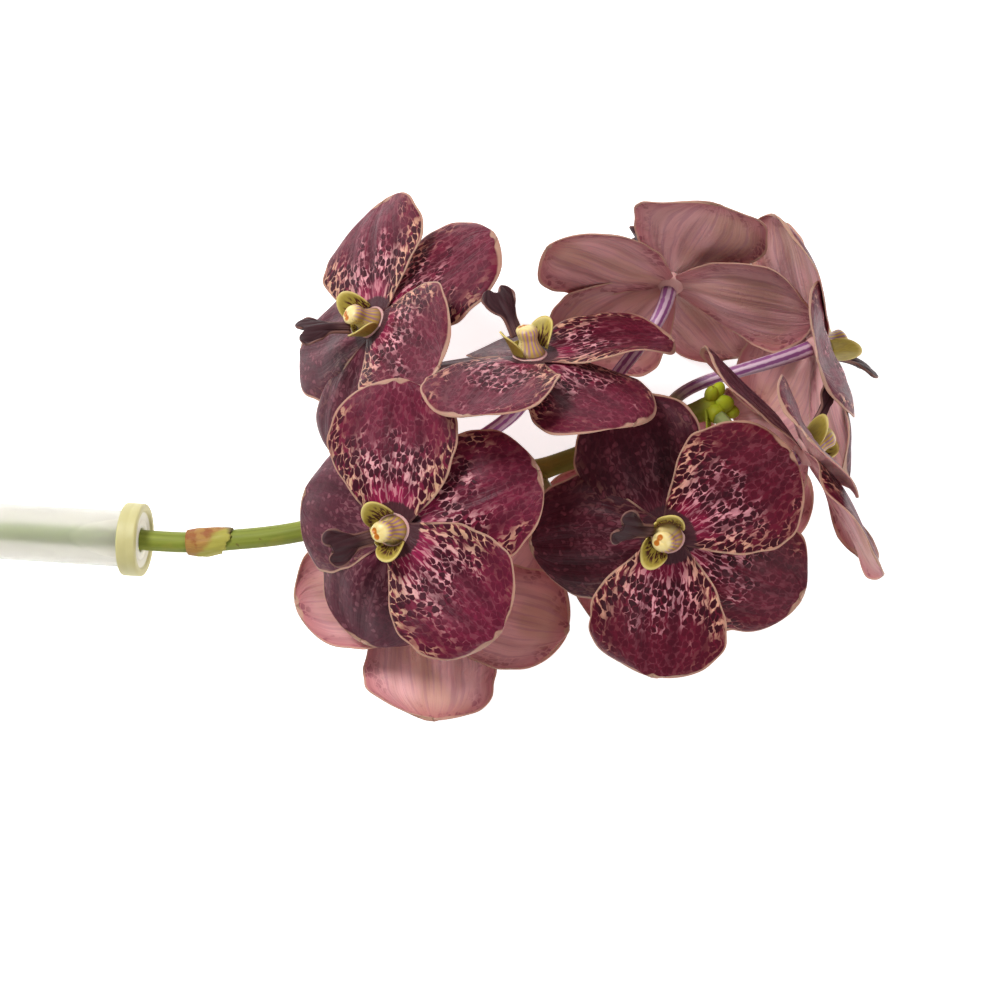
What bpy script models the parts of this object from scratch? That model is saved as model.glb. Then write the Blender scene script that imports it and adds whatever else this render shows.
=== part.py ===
"""A cut vanda orchid: one flowering stem that lies down, its foot in a water tube with a rubber cap.

The surface that it lies on is at Z = 0, and X runs along the stem from the tube to the tip. Lengths are
written in millimetres and turned into metres where a mesh or a matrix is made.

A bloom is modelled in its own frame: z is the way that its face looks, y points to its dorsal sepal, and
the lip hangs towards -y. Its five tepals are bent grids with a thickness, fused round a small hub. The
column, the lip's two side lobes, the lip and the pedicel are pieces of their own, a little clear of it.
A blade is a flat grid first: its x runs from 0 at the root to 1 at the tip, its y from -1 to 1 across.
"""

import bmesh
import bpy
import numpy as np
from mathutils import Matrix, Vector

MM = 0.001
GAP = 0.3  # between pieces that touch on the real flower
ROD_RESOLUTION = 2
SHARP_ANGLE = 50  # degrees between faces from which an edge is drawn sharp
WELD = 0.01
WELD_FUSED = 0.0001

# The stem
STEM_RADIUS = 3.2
STEM_POINTS = (
    (-104, -13.0, 24.7),
    (-96, -13.2, 26.5),
    (-84, -12.5, 29.0),
    (-63, -10.0, 33.0),
    (-31, -2.5, 39.0),
    (0, 5.5, 43.0),
    (23, 13.0, 45.5),
    (46, 21.5, 47.0),
    (66, 29.0, 48.0),
)
STEPS_BETWEEN = 2
KNOB_LENGTH = 2.3
KNOB_RADII = (3.1, 2.6)
KNOB_SIDES = 8
BRACT_LENGTH = 7.0
BRACT_WIDTH = 5.5
BRACT_TAPER = 0.85
BRACT_BEND = 2.0
BRACT_HOLLOW = 0.12
BRACT_LEAN = 0.35
BRACT_SUNK = 1.2
BRACT_OVERLAP = 0.2
BRACT_THICKNESS = 0.8
SHEATH_FROM, SHEATH_TO = -97, -85
SHEATH_SLANT = 3.0
SHEATH_REACH = 150
SHEATH_BULGE = 0.6
SHEATH_THICKNESS = 0.6
# Green buds at the tip: where from the stem's end, and radius
BUDS = (
    ((2.0, 0.5, 0.5), 2.9),
    ((0.5, 4.6, 1.2), 2.2),
    ((-1.5, 3.4, 2.6), 2.2),
    ((4.6, -1.8, -1.4), 2.3),
)
BUD_SEGMENTS, BUD_RINGS = 7, 5

# The water tube: its mouth is where the stem enters, and its closed end's rim rests on the surface
MOUTH = Vector((-113.5, -12.4, 0.0))
TUBE_LENGTH = 76.0
TUBE_RADIUS = 8.8
TUBE_WALL = 1.0
TUBE_ROUNDING = 1.4
TUBE_TILT = 10.5
TUBE_SLANT = -3.4
TURNED_STEPS = 24
STEM_IN_TUBE = 44.0
WATER_LEVEL = 27.5

# The rubber cap
CAP_RADIUS = 11.4
CAP_FRONT = 2.4
CAP_BACK = 3.8
CAP_BEVEL = 0.5
CAP_RECESS = 0.8
CAP_RIM = 2.2

# The bloom's tepals. Each one: its angle round the face, its length and width, how deep its root lies
# behind the face, how it leaves the hub, how it bends back along its length, how far its edges rise at
# full width, and its twist. Angles are in degrees.
TEPALS = {
    "dorsal": dict(angle=90, length=47, width=40, depth=2.0, lift=0, curl=-18, cup=-2.0, twist=0),
    "petal_right": dict(angle=24, length=45, width=42, depth=0.9, lift=9, curl=-20, cup=2.5, twist=6),
    "petal_left": dict(angle=156, length=45, width=42, depth=0.9, lift=9, curl=-20, cup=2.5, twist=-6),
    "sepal_right": dict(angle=-51, length=44, width=40, depth=2.6, lift=-6, curl=-14, cup=-3.0, twist=0),
    "sepal_left": dict(angle=231, length=44, width=40, depth=2.6, lift=-6, curl=-14, cup=-3.0, twist=0),
}
TEPAL_ROOT = 2.2
TEPAL_CLAW = 0.26
TEPAL_WIDEST = 0.56
TEPAL_END = 0.965
TEPAL_CUPPED_FROM = 1 / 3
TEPAL_THICKNESS = 0.9
TEPAL_ROWS, TEPAL_COLUMNS = 6, 4
OUTLINE_RISE = 1.1
OUTLINE_TIP = 2.2
HUB_DEPTH = 4.0
HUB_RADII = (2.9, 5.5)
HUB_SIDES = 8

# The column, from its head down: radius and height over the face
COLUMN_PROFILE = ((0, 8.8), (2.2, 8.5), (3.1, 7.0), (2.7, 4.4), (3.4, 2.0), (4.2, 0.3), (0, 0.3))
COLUMN_STEPS = 8

# The lip's side lobes: a flared cup round the column, low where the lip passes over it
LOBES_REACH = 120
LOBES_NOTCH = 30
LOBES_RADIUS = 5.1
LOBES_FLARE = 0.42
LOBES_FOOT = 0.9
LOBES_LOW, LOBES_HIGH = 1.8, 8.0
LOBES_ROUNDNESS = 0.8
LOBES_THICKNESS = 0.8
LOBES_ROWS, LOBES_COLUMNS = 2, 8

# The lip's tongue
LIP_ROOT = (5.5, 4.1)
LIP_LENGTH = 17.0
LIP_NARROW, LIP_WIDE = 2.4, 6.0
LIP_WIDENS, LIP_WIDEST = 0.3, 0.78
LIP_END = 0.97
LIP_LIFT, LIP_CURL = 62, -22
LIP_KEEL = 0.06
LIP_THICKNESS = 2.4
LIP_ROWS, LIP_COLUMNS = 4, 4

PEDICEL_RADIUS = 2.3
PEDICEL_POINTS = 8
PEDICEL_STRAIGHT = 1.5
PEDICEL_LEAN = 0.35
PEDICEL_REACHES = (0.33, 0.43)  # how far its bend's two handles reach, as a share of its length

# Each bloom, from the stem's foot to its tip: its face's centre, the way it looks, the way that its
# dorsal sepal points, the X where its pedicel leaves the stem, and how some tepals bend otherwise, as
# further lift, curl and twist in degrees.
BLOOMS = (
    dict(
        centre=(-32, -9, 78),
        looks=(-0.3, 0, 0.9),
        top=(0.95, 0.4, 0.2),
        stem_x=-55,
        bends={"sepal_right": (-10, -10, 0), "sepal_left": (-10, -10, 0)},
    ),
    dict(
        centre=(-40, 55, 39),
        looks=(-0.6, 0.35, 0.6),
        top=(1, 0.3, -0.1),
        stem_x=-31,
        bends={"petal_right": (5, 5, 0)},
    ),
    dict(centre=(-23, -30, 22), looks=(-0.1, -0.6, -0.95), top=(1.1, -0.3, 0.3), stem_x=-20, bends={}),
    dict(centre=(9, 44, 68), looks=(-0.05, 0.95, 0.45), top=(0.7, -0.4, 0.75), stem_x=-17, bends={}),
    dict(
        centre=(50, -11, 76),
        looks=(-0.1, -0.25, 0.9),
        top=(0.85, -0.5, 0),
        stem_x=10,
        bends={"dorsal": (-5, 0, 0)},
    ),
    dict(
        centre=(53, 68, 36),
        looks=(0.2, 0.75, -0.5),
        top=(0.95, 0, 0.15),
        stem_x=29,
        bends={"petal_left": (5, 5, 0)},
    ),
    dict(
        centre=(55, -15, 17),
        looks=(0.1, -0.55, -0.9),
        top=(0.75, 0.35, -0.1),
        stem_x=36,
        bends={"petal_right": (-10, 0, -5), "petal_left": (-15, 0, 0)},
    ),
    dict(
        centre=(99, 48, 39),
        looks=(0.9, 0.35, -0.35),
        top=(0.4, 0.85, 0.15),
        stem_x=51,
        bends={
            "sepal_right": (5, 0, -5),
            "petal_right": (5, 5, 0),
            "petal_left": (-20, -15, 0),
            "sepal_left": (0, 0, 10),
        },
    ),
    dict(
        centre=(93, 15, 70),
        looks=(0.85, 0.5, 0),
        top=(0.25, -0.85, 0.5),
        stem_x=64,
        bends={"dorsal": (10, 0, 0)},
    ),
)


def clear_scene():
    for old in list(bpy.data.objects):
        bpy.data.objects.remove(old)


def new_collection(name):
    collection = bpy.data.collections.new(name)
    bpy.context.scene.collection.children.link(collection)
    return collection


def new_material(name, colour, roughness, transmission=0.0):
    material = bpy.data.materials.new(name)
    material.use_nodes = True
    shader = material.node_tree.nodes["Principled BSDF"]
    shader.inputs["Base Color"].default_value = (*colour, 1)
    shader.inputs["Roughness"].default_value = roughness
    shader.inputs["Metallic"].default_value = 0.0
    shader.inputs["Transmission Weight"].default_value = transmission
    return material


def unit(vector):
    return np.asarray(vector, float) / np.linalg.norm(vector)


def add_object(name, data, collection, material, matrix=None):
    made = bpy.data.objects.new(name, data)
    made.matrix_world = matrix or Matrix()
    data.materials.clear()
    data.materials.append(material)
    collection.objects.link(made)
    return made


def bake(source, weld=WELD):
    """Replaces the object's data by the mesh that its curve or modifiers make, with welded caps."""
    bpy.context.view_layer.update()
    graph = bpy.context.evaluated_depsgraph_get()
    mesh = bpy.data.meshes.new_from_object(source.evaluated_get(graph))
    shape = bmesh.new()
    shape.from_mesh(mesh)
    bmesh.ops.remove_doubles(shape, verts=shape.verts, dist=weld * MM)
    bmesh.ops.triangulate(shape, faces=shape.faces)
    bmesh.ops.recalc_face_normals(shape, faces=shape.faces)
    shape.to_mesh(mesh)
    shape.free()
    mesh.name = source.name
    baked = bpy.data.objects.new(source.name + "_baked", mesh)
    baked.matrix_world = source.matrix_world.copy()
    source.users_collection[0].objects.link(baked)
    name = source.name
    bpy.data.objects.remove(source)
    baked.name = name
    mesh.shade_smooth()
    mesh.set_sharp_from_angle(angle=np.radians(SHARP_ANGLE))
    return baked


def add_blade(name, surface, thickness, rows, columns, collection, material, matrix=None):
    """A grid moved to surface(along, across), split into triangles and given a thickness."""
    shape = bmesh.new()
    bmesh.ops.create_grid(shape, x_segments=rows, y_segments=columns, size=1)
    flat = np.array([corner.co for corner in shape.verts])
    for corner, place in zip(shape.verts, surface((flat[:, 0] + 1) / 2, flat[:, 1])):
        corner.co = place * MM
    bmesh.ops.triangulate(shape, faces=shape.faces, quad_method="FIXED")
    mesh = bpy.data.meshes.new(name)
    shape.to_mesh(mesh)
    shape.free()
    blade = add_object(name, mesh, collection, material, matrix)
    solidify = blade.modifiers.new("Thickness", "SOLIDIFY")
    solidify.thickness = thickness * MM
    solidify.offset = 0
    return bake(blade)


def add_rod(name, path, radius, collection, material):
    """A round rod along the path, with closed ends."""
    curve = bpy.data.curves.new(name, "CURVE")
    curve.dimensions = "3D"
    curve.bevel_depth = radius * MM
    curve.bevel_resolution = ROD_RESOLUTION
    curve.use_fill_caps = True
    line = curve.splines.new("POLY")
    line.points.add(len(path) - 1)
    for point, place in zip(line.points, path):
        point.co = (*(np.asarray(place) * MM), 1)
    return bake(add_object(name, curve, collection, material))


def add_turned(name, profile, steps, collection, material, matrix, closed=False):
    """The profile, as pairs of radius and height, turned round the local z axis."""
    shape = bmesh.new()
    corners = [shape.verts.new((radius * MM, 0, height * MM)) for radius, height in profile]
    for first, second in zip(corners, corners[1:] + corners[:1] if closed else corners[1:]):
        shape.edges.new((first, second))
    mesh = bpy.data.meshes.new(name)
    shape.to_mesh(mesh)
    shape.free()
    turned = add_object(name, mesh, collection, material, matrix)
    screw = turned.modifiers.new("Turn", "SCREW")
    screw.steps = steps
    screw.render_steps = steps
    screw.use_merge_vertices = True
    screw.merge_threshold = WELD * MM
    return bake(turned)


def add_cone(name, start, end, radii, sides, collection, material):
    """A cone's frustum from start to end."""
    axis = Vector(end) - Vector(start)
    shape = bmesh.new()
    turn = axis.to_track_quat("Z", "Y").to_matrix().to_4x4()
    middle = Matrix.Translation((Vector(start) + Vector(end)) / 2 * MM)
    bmesh.ops.create_cone(
        shape,
        cap_ends=True,
        segments=sides,
        radius1=radii[0] * MM,
        radius2=radii[1] * MM,
        depth=axis.length * MM,
        matrix=middle @ turn,
    )
    mesh = bpy.data.meshes.new(name)
    shape.to_mesh(mesh)
    shape.free()
    return add_object(name, mesh, collection, material)


def largest_shell(mesh):
    """Drops every body of the mesh but its largest, so a sealed hollow is filled and no scrap stays."""
    shape = bmesh.new()
    shape.from_mesh(mesh)
    waiting = set(shape.faces)
    bodies = []
    while waiting:
        body = {waiting.pop()}
        edge_of_search = list(body)
        while edge_of_search:
            face = edge_of_search.pop()
            near = {other for edge in face.edges for other in edge.link_faces} & waiting
            waiting -= near
            body |= near
            edge_of_search.extend(near)
        bodies.append(body)
    bodies.sort(key=len)
    for body in bodies[:-1]:
        bmesh.ops.delete(shape, geom=list(body), context="FACES")
    shape.to_mesh(mesh)
    shape.free()


def fuse(body, pieces):
    """Joins the pieces to the body in one Boolean union, and removes them."""
    others = new_collection("fused_pieces")
    others.hide_render = True
    for piece in pieces:
        for old in list(piece.users_collection):
            old.objects.unlink(piece)
        others.objects.link(piece)
        piece.hide_render = True
        piece.display_type = "WIRE"
    join = body.modifiers.new("Join", "BOOLEAN")
    join.operation = "UNION"
    join.solver = "MANIFOLD"
    join.operand_type = "COLLECTION"
    join.collection = others
    fused = bake(body, WELD_FUSED)
    largest_shell(fused.data)
    for piece in pieces:
        bpy.data.objects.remove(piece)
    bpy.data.collections.remove(others)
    return fused


def smooth_path(points, steps):
    """A path through all the points (Catmull-Rom), with so many steps from one to the next."""
    points = np.array(points, float)
    points = np.vstack((2 * points[0] - points[1], points, 2 * points[-1] - points[-2]))
    t = (np.arange(steps) / steps)[:, None]
    stretches = [
        (
            2 * here
            + (after - before) * t
            + (2 * before - 5 * here + 4 * after - last) * t**2
            + (3 * here - before - 3 * after + last) * t**3
        )
        / 2
        for before, here, after, last in zip(points, points[1:], points[2:], points[3:])
    ]
    return np.vstack((*stretches, points[-2]))


def bezier(start, first, second, end, count):
    t = np.linspace(0, 1, count)[:, None]
    return (1 - t) ** 3 * start + 3 * (1 - t) ** 2 * t * first + 3 * (1 - t) * t**2 * second + t**3 * end


def arc(length, lift, curl, share):
    """A strip that leaves at the angle lift and turns by curl on its way: how far out, how high, its slope."""
    start, turn = np.radians(lift), np.radians(curl)
    slope = start + turn * share
    out = length / turn * (np.sin(slope) - np.sin(start))
    up = length / turn * (np.cos(start) - np.cos(slope))
    return out, up, slope


def outline(share, claw, widest):
    """A tepal's or lip's half-width as a share of its largest: a claw that widens, then a round tip."""
    rise = claw + (1 - claw) * np.sin(np.clip(share / widest, 0, 1) * np.pi / 2) ** OUTLINE_RISE
    past = np.clip((share - widest) / (1 - widest), 0, 1)
    return rise * np.sqrt(1 - past**OUTLINE_TIP)


def tepal_surface(tepal, bend):
    lift, curl, twist = bend
    angle = np.radians(tepal["angle"])

    def surface(along, across):
        share = np.sin(along * TEPAL_END * np.pi / 2)
        side = across * outline(share, TEPAL_CLAW, TEPAL_WIDEST) * tepal["width"] / 2
        length = tepal["length"] - TEPAL_ROOT
        out, up, slope = arc(length, tepal["lift"] + lift, tepal["curl"] + curl, share)
        rise = tepal["cup"] * (2 * side / tepal["width"]) ** 2 * np.clip(share / TEPAL_CUPPED_FROM, 0, 1)
        turn = np.radians(tepal["twist"] + twist) * share
        side, rise = side * np.cos(turn) - rise * np.sin(turn), side * np.sin(turn) + rise * np.cos(turn)
        out = TEPAL_ROOT + out - rise * np.sin(slope)
        height = up - tepal["depth"] + rise * np.cos(slope)
        x = out * np.cos(angle) - side * np.sin(angle)
        y = out * np.sin(angle) + side * np.cos(angle)
        return np.stack((x, y, height), axis=1)

    return surface


def lobes_surface(along, across):
    """The flared cup: across runs round the column, along from its foot to its edge."""
    angle = across * LOBES_REACH
    past_notch = np.clip((np.abs(angle) - LOBES_NOTCH) / (LOBES_REACH - LOBES_NOTCH), 0, 1)
    lobe = np.sin(np.pi * past_notch) ** LOBES_ROUNDNESS
    height = (LOBES_LOW + (LOBES_HIGH - LOBES_LOW) * lobe) * along
    radius = LOBES_RADIUS + LOBES_FLARE * height
    angle = np.radians(angle)
    return np.stack((radius * np.sin(angle), -radius * np.cos(angle), LOBES_FOOT + height), axis=1)


def lip_half(share):
    """Half the tongue's width: narrow as far as its middle, then wide like an anchor's arms."""
    widening = np.clip((share - LIP_WIDENS) / (LIP_WIDEST - LIP_WIDENS), 0, 1)
    past = np.clip((share - LIP_WIDEST) / (1 - LIP_WIDEST), 0, 1)
    half = LIP_NARROW + (LIP_WIDE - LIP_NARROW) * np.sin(widening * np.pi / 2) ** 2
    return half * np.sqrt(1 - past**OUTLINE_TIP)


def lip_surface(along, across):
    share = np.sin(along * LIP_END * np.pi / 2)
    side = across * lip_half(share)
    out, up, slope = arc(LIP_LENGTH, LIP_LIFT, LIP_CURL, share)
    rise = -LIP_KEEL * side**2
    out = LIP_ROOT[0] + out - rise * np.sin(slope)
    return np.stack((-side, -out, LIP_ROOT[1] + up + rise * np.cos(slope)), axis=1)


def bract_surface(root, rise, side, away):
    """A small pointed bract: root on the stem, then the directions of its length, width and bend."""

    def surface(along, across):
        half = BRACT_WIDTH / 2 * (1 - BRACT_TAPER * along**1.5)
        length = BRACT_LENGTH * along
        bend = BRACT_BEND * along**2 - BRACT_HOLLOW * (across * half) ** 2
        return root + np.outer(length, rise) + np.outer(across * half, side) + np.outer(bend, away)

    return surface


def bloom_matrix(bloom):
    z = unit(bloom["looks"])
    y = unit(np.array(bloom["top"]) - (np.array(bloom["top"]) @ z) * z)
    matrix = Matrix(np.column_stack((np.cross(y, z), y, z)).tolist()).to_4x4()
    matrix.translation = Vector(bloom["centre"]) * MM
    return matrix


def tube_axis():
    tilt, slant = np.radians(TUBE_TILT), np.radians(TUBE_SLANT)
    return Vector((np.cos(tilt) * np.cos(slant), np.cos(tilt) * np.sin(slant), np.sin(tilt)))


def tube_profile():
    """The tube's section: up its inside from the closed end, over the mouth and down its outside."""
    inner = TUBE_RADIUS - TUBE_WALL
    turn = np.radians(np.linspace(0, 90, 4))
    rounding = TUBE_RADIUS - TUBE_ROUNDING + TUBE_ROUNDING * np.cos(turn)
    heights = TUBE_ROUNDING - TUBE_ROUNDING * np.sin(turn)
    inside = [(0, TUBE_WALL), (inner, TUBE_WALL), (inner, TUBE_LENGTH)]
    return [*inside, (TUBE_RADIUS, TUBE_LENGTH), *zip(rounding, heights), (0, 0)]


def tube_matrix():
    """The frame of the tube: its origin at the closed end, z to the mouth, x down to the surface."""
    axis = tube_axis()
    down = Vector((0, 0, -1))
    x = (down - down.dot(axis) * axis).normalized()
    lowest = min(height * axis.z + radius * x.z for radius, height in tube_profile())
    origin = MOUTH - axis * TUBE_LENGTH
    origin.z = -lowest
    matrix = Matrix((x, axis.cross(x), axis)).transposed().to_4x4()
    matrix.translation = origin * MM
    return matrix


def stem_path(frame):
    """The whole stem, from its foot in the tube to its tip."""
    inside = [frame @ Vector((0, 0, (TUBE_LENGTH - back) * MM)) / MM for back in (STEM_IN_TUBE, 0)]
    return smooth_path([inside[1], *STEM_POINTS], STEPS_BETWEEN), np.array(inside[0])


def on_stem(path, x):
    """The stem's middle and its direction at an X."""
    middle = np.array([np.interp(x, path[:, 0], path[:, i]) for i in range(3)])
    nearest = int(np.argmin(np.abs(path[:, 0] - x)))
    before, after = path[max(nearest - 1, 0)], path[min(nearest + 1, len(path) - 1)]
    return middle, unit(after - before)


def pedicel_start(bloom, path):
    """Where a bloom's pedicel meets the stem: the stem's middle there, its direction and the way out."""
    middle, direction = on_stem(path, bloom["stem_x"])
    back = np.array(bloom["centre"]) - unit(bloom["looks"]) * HUB_DEPTH
    away = back - middle
    away = unit(away - (away @ direction) * direction)
    return middle, direction, unit(away + PEDICEL_LEAN * direction)


def add_pedicel(number, bloom, path, parts, material):
    middle, _, way_out = pedicel_start(bloom, path)
    looks = unit(bloom["looks"])
    foot = middle + way_out * (STEM_RADIUS + KNOB_LENGTH + GAP)
    top = np.array(bloom["centre"]) - looks * (HUB_DEPTH + GAP)
    start = foot + way_out * PEDICEL_STRAIGHT
    end = top - looks * PEDICEL_STRAIGHT
    reach = np.linalg.norm(end - start)
    first = start + way_out * reach * PEDICEL_REACHES[0]
    second = end - looks * reach * PEDICEL_REACHES[1]
    bent = bezier(start, first, second, end, PEDICEL_POINTS)
    add_rod(f"bloom_{number}_pedicel", [foot, *bent, top], PEDICEL_RADIUS, parts, material)


def add_bloom(number, bloom, parts, materials):
    matrix = bloom_matrix(bloom)
    blades = []
    for name, tepal in TEPALS.items():
        surface = tepal_surface(tepal, bloom["bends"].get(name, (0, 0, 0)))
        size = (TEPAL_THICKNESS, TEPAL_ROWS, TEPAL_COLUMNS)
        blades.append(add_blade(name, surface, *size, parts, materials["tepal"], matrix))
    ends = ((0, 0, -HUB_DEPTH), (0, 0, 0))
    hub = add_cone(f"bloom_{number}_tepals", *ends, HUB_RADII, HUB_SIDES, parts, materials["tepal"])
    hub.matrix_world = matrix
    fuse(hub, blades)
    name = f"bloom_{number}_column"
    add_turned(name, COLUMN_PROFILE, COLUMN_STEPS, parts, materials["column"], matrix)
    name = f"bloom_{number}_side_lobes"
    size = (LOBES_THICKNESS, LOBES_ROWS, LOBES_COLUMNS)
    add_blade(name, lobes_surface, *size, parts, materials["side_lobes"], matrix)
    name = f"bloom_{number}_lip"
    size = (LIP_THICKNESS, LIP_ROWS, LIP_COLUMNS)
    add_blade(name, lip_surface, *size, parts, materials["lip"], matrix)


def add_stem(path, foot, parts, materials):
    """The green stem with a knob and a bract under each pedicel, and the buds at its tip."""
    green = materials["stem"]
    stem = add_rod("stem", [foot, *path], STEM_RADIUS, parts, green)
    grown = []
    for bloom in BLOOMS:
        middle, direction, way_out = pedicel_start(bloom, path)
        tip = middle + way_out * (STEM_RADIUS + KNOB_LENGTH)
        grown.append(add_cone("knob", middle, tip, KNOB_RADII, KNOB_SIDES, parts, green))
        across = unit(np.cross(direction, way_out))
        back = unit(np.cross(way_out, across))
        root = middle + way_out * (STEM_RADIUS - BRACT_SUNK) - back * (KNOB_RADII[0] - BRACT_OVERLAP)
        surface = bract_surface(root, unit(way_out - BRACT_LEAN * back), across, -back)
        grown.append(add_blade("bract", surface, BRACT_THICKNESS, 3, 2, parts, green))
    for place, radius in BUDS:
        shape = bmesh.new()
        middle = Matrix.Translation(Vector(path[-1] + np.array(place)) * MM)
        size = dict(u_segments=BUD_SEGMENTS, v_segments=BUD_RINGS, radius=radius * MM)
        bmesh.ops.create_uvsphere(shape, **size, matrix=middle)
        mesh = bpy.data.meshes.new("bud")
        shape.to_mesh(mesh)
        shape.free()
        grown.append(add_object("bud", mesh, parts, green))
    fuse(stem, grown)


def add_sheath(path, parts, material):
    """The dry brown sheath round the stem's lowest joint, open on its underside, its end slanted."""

    def surface(along, across):
        angle = np.radians(SHEATH_REACH * across)
        end = SHEATH_TO + SHEATH_SLANT * np.cos(angle)
        places = []
        for x, turn, share in zip(SHEATH_FROM + (end - SHEATH_FROM) * along, angle, along):
            middle, direction = on_stem(path, x)
            side = unit(np.cross((0, 0, 1), direction))
            over = np.cross(direction, side)
            radius = STEM_RADIUS + GAP + SHEATH_THICKNESS + SHEATH_BULGE * np.sin(np.pi * share)
            places.append(middle + radius * (side * np.sin(turn) + over * np.cos(turn)))
        return np.array(places)

    add_blade("stem_sheath", surface, SHEATH_THICKNESS, 3, 10, parts, material)


def add_tube_and_cap(frame, parts, materials):
    add_turned("water_tube", tube_profile(), TURNED_STEPS, parts, materials["tube"], frame)
    hole = STEM_RADIUS + GAP
    grip = TUBE_RADIUS + GAP
    face = CAP_FRONT - CAP_RECESS
    profile = [
        (hole, face),
        (CAP_RADIUS - CAP_RIM - CAP_BEVEL, face),
        (CAP_RADIUS - CAP_RIM, CAP_FRONT),
        (CAP_RADIUS - CAP_BEVEL, CAP_FRONT),
        (CAP_RADIUS, CAP_FRONT - CAP_BEVEL),
        (CAP_RADIUS, CAP_BEVEL - CAP_BACK),
        (CAP_RADIUS - CAP_BEVEL, -CAP_BACK),
        (grip, -CAP_BACK),
        (grip, GAP),
        (hole, GAP),
    ]
    at_mouth = frame @ Matrix.Translation((0, 0, TUBE_LENGTH * MM))
    add_turned("tube_cap", profile, TURNED_STEPS, parts, materials["cap"], at_mouth, closed=True)


def add_water(frame, parts, cutters, material):
    """The water: it fills the bore round the stem's foot, up to a level surface."""
    radius = TUBE_RADIUS - TUBE_WALL - GAP
    hole = STEM_RADIUS + GAP
    low, high = TUBE_WALL + GAP, TUBE_LENGTH - GAP
    floor_of_hole = TUBE_LENGTH - STEM_IN_TUBE - GAP
    profile = [(0, floor_of_hole), (hole, floor_of_hole), (hole, high), (radius, high), (radius, low), (0, low)]
    water = add_turned("water", profile, TURNED_STEPS, parts, material, frame)
    shape = bmesh.new()
    size = 2 * TUBE_LENGTH * MM
    middle = Matrix.Translation((MOUTH.x * MM, MOUTH.y * MM, WATER_LEVEL * MM + size / 2))
    bmesh.ops.create_cube(shape, size=size, matrix=middle)
    mesh = bpy.data.meshes.new("air")
    shape.to_mesh(mesh)
    shape.free()
    air = add_object("air", mesh, cutters, material)
    air.hide_render = True
    air.display_type = "WIRE"
    cut = water.modifiers.new("Level", "BOOLEAN")
    cut.operation = "DIFFERENCE"
    cut.object = air


def centre_on_surface(parts, cutters):
    """Moves everything so that the origin is on the surface, under the middle of the parts' box."""
    bpy.context.view_layer.update()
    corners = np.array([made.matrix_world @ point.co for made in parts.objects for point in made.data.vertices])
    low, high = corners.min(axis=0), corners.max(axis=0)
    shift = Matrix.Translation((-(low[0] + high[0]) / 2, -(low[1] + high[1]) / 2, -low[2]))
    for made in (*parts.objects, *cutters.objects):
        made.matrix_world = shift @ made.matrix_world
    end = shift @ tube_matrix() @ Vector((0, 0, 0))
    print("The middle of the tube's closed end is at", [round(value, 5) for value in end])
    print("and it faces", [round(-value, 5) for value in tube_axis()])


def main():
    clear_scene()
    parts = new_collection("cut_vanda_orchid")
    cutters = new_collection("cutters")
    cutters.hide_render = True
    materials = {
        "tepal": new_material("tepal_burgundy", (0.12, 0.018, 0.045), 0.5),
        "column": new_material("column_cream", (0.80, 0.62, 0.30), 0.45),
        "side_lobes": new_material("side_lobes_yellow", (0.55, 0.42, 0.10), 0.45),
        "lip": new_material("lip_purple", (0.035, 0.012, 0.022), 0.5),
        "pedicel": new_material("pedicel_lilac", (0.42, 0.25, 0.46), 0.5),
        "stem": new_material("stem_green", (0.18, 0.30, 0.05), 0.5),
        "sheath": new_material("sheath_brown", (0.36, 0.17, 0.06), 0.75),
        "tube": new_material("tube_frosted", (0.88, 0.90, 0.88), 0.35, 0.8),
        "cap": new_material("cap_rubber", (0.62, 0.60, 0.30), 0.55),
        "water": new_material("water_clear", (0.90, 0.94, 0.94), 0.05, 1.0),
    }
    frame = tube_matrix()
    path, foot = stem_path(frame)
    add_stem(path, foot, parts, materials)
    add_sheath(path, parts, materials["sheath"])
    add_tube_and_cap(frame, parts, materials)
    add_water(frame, parts, cutters, materials["water"])
    for number, bloom in enumerate(BLOOMS, start=1):
        add_bloom(number, bloom, parts, materials)
        add_pedicel(number, bloom, path, parts, materials["pedicel"])
    centre_on_surface(parts, cutters)


main()
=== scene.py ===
# %% [markdown]
# A cut vanda orchid: one flowering stem that lies on a pale surface, its foot in a small water tube. The
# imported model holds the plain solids. This lesson gives each of them its real surface, and shows how a
# petal, a stem or a tube can be written as a formula of two parameters.

import bmesh
import bpy
import numpy as np
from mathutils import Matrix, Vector


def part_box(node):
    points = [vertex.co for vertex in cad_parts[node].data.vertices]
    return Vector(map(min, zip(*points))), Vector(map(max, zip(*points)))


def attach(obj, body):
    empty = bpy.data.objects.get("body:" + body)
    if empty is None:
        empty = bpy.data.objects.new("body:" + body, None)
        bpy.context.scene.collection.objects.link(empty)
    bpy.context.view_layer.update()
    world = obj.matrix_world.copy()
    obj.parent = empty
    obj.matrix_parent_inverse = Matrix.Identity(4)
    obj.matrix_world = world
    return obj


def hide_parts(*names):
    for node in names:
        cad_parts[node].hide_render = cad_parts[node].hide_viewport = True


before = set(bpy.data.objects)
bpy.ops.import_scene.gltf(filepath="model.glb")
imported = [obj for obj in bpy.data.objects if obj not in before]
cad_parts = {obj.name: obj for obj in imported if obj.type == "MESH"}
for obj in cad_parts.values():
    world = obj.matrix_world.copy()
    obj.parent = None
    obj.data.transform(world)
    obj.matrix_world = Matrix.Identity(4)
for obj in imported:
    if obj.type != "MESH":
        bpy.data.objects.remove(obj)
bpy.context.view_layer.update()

MM = 0.001
print("nodes in the frame:", len(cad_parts))

# %% [markdown]
# Colours are picked on a screen, so they are written as sRGB hex values. A shader wants linear light, and
# one small function turns the one into the other. A second one adds a node to a material: its settings by
# name, and its inputs by name or number, each of them a number, a colour or another node's output. A
# noise on object coordinates counts its waves to the metre, so 0.9 / MM means 0.9 waves to a millimetre.


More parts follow.
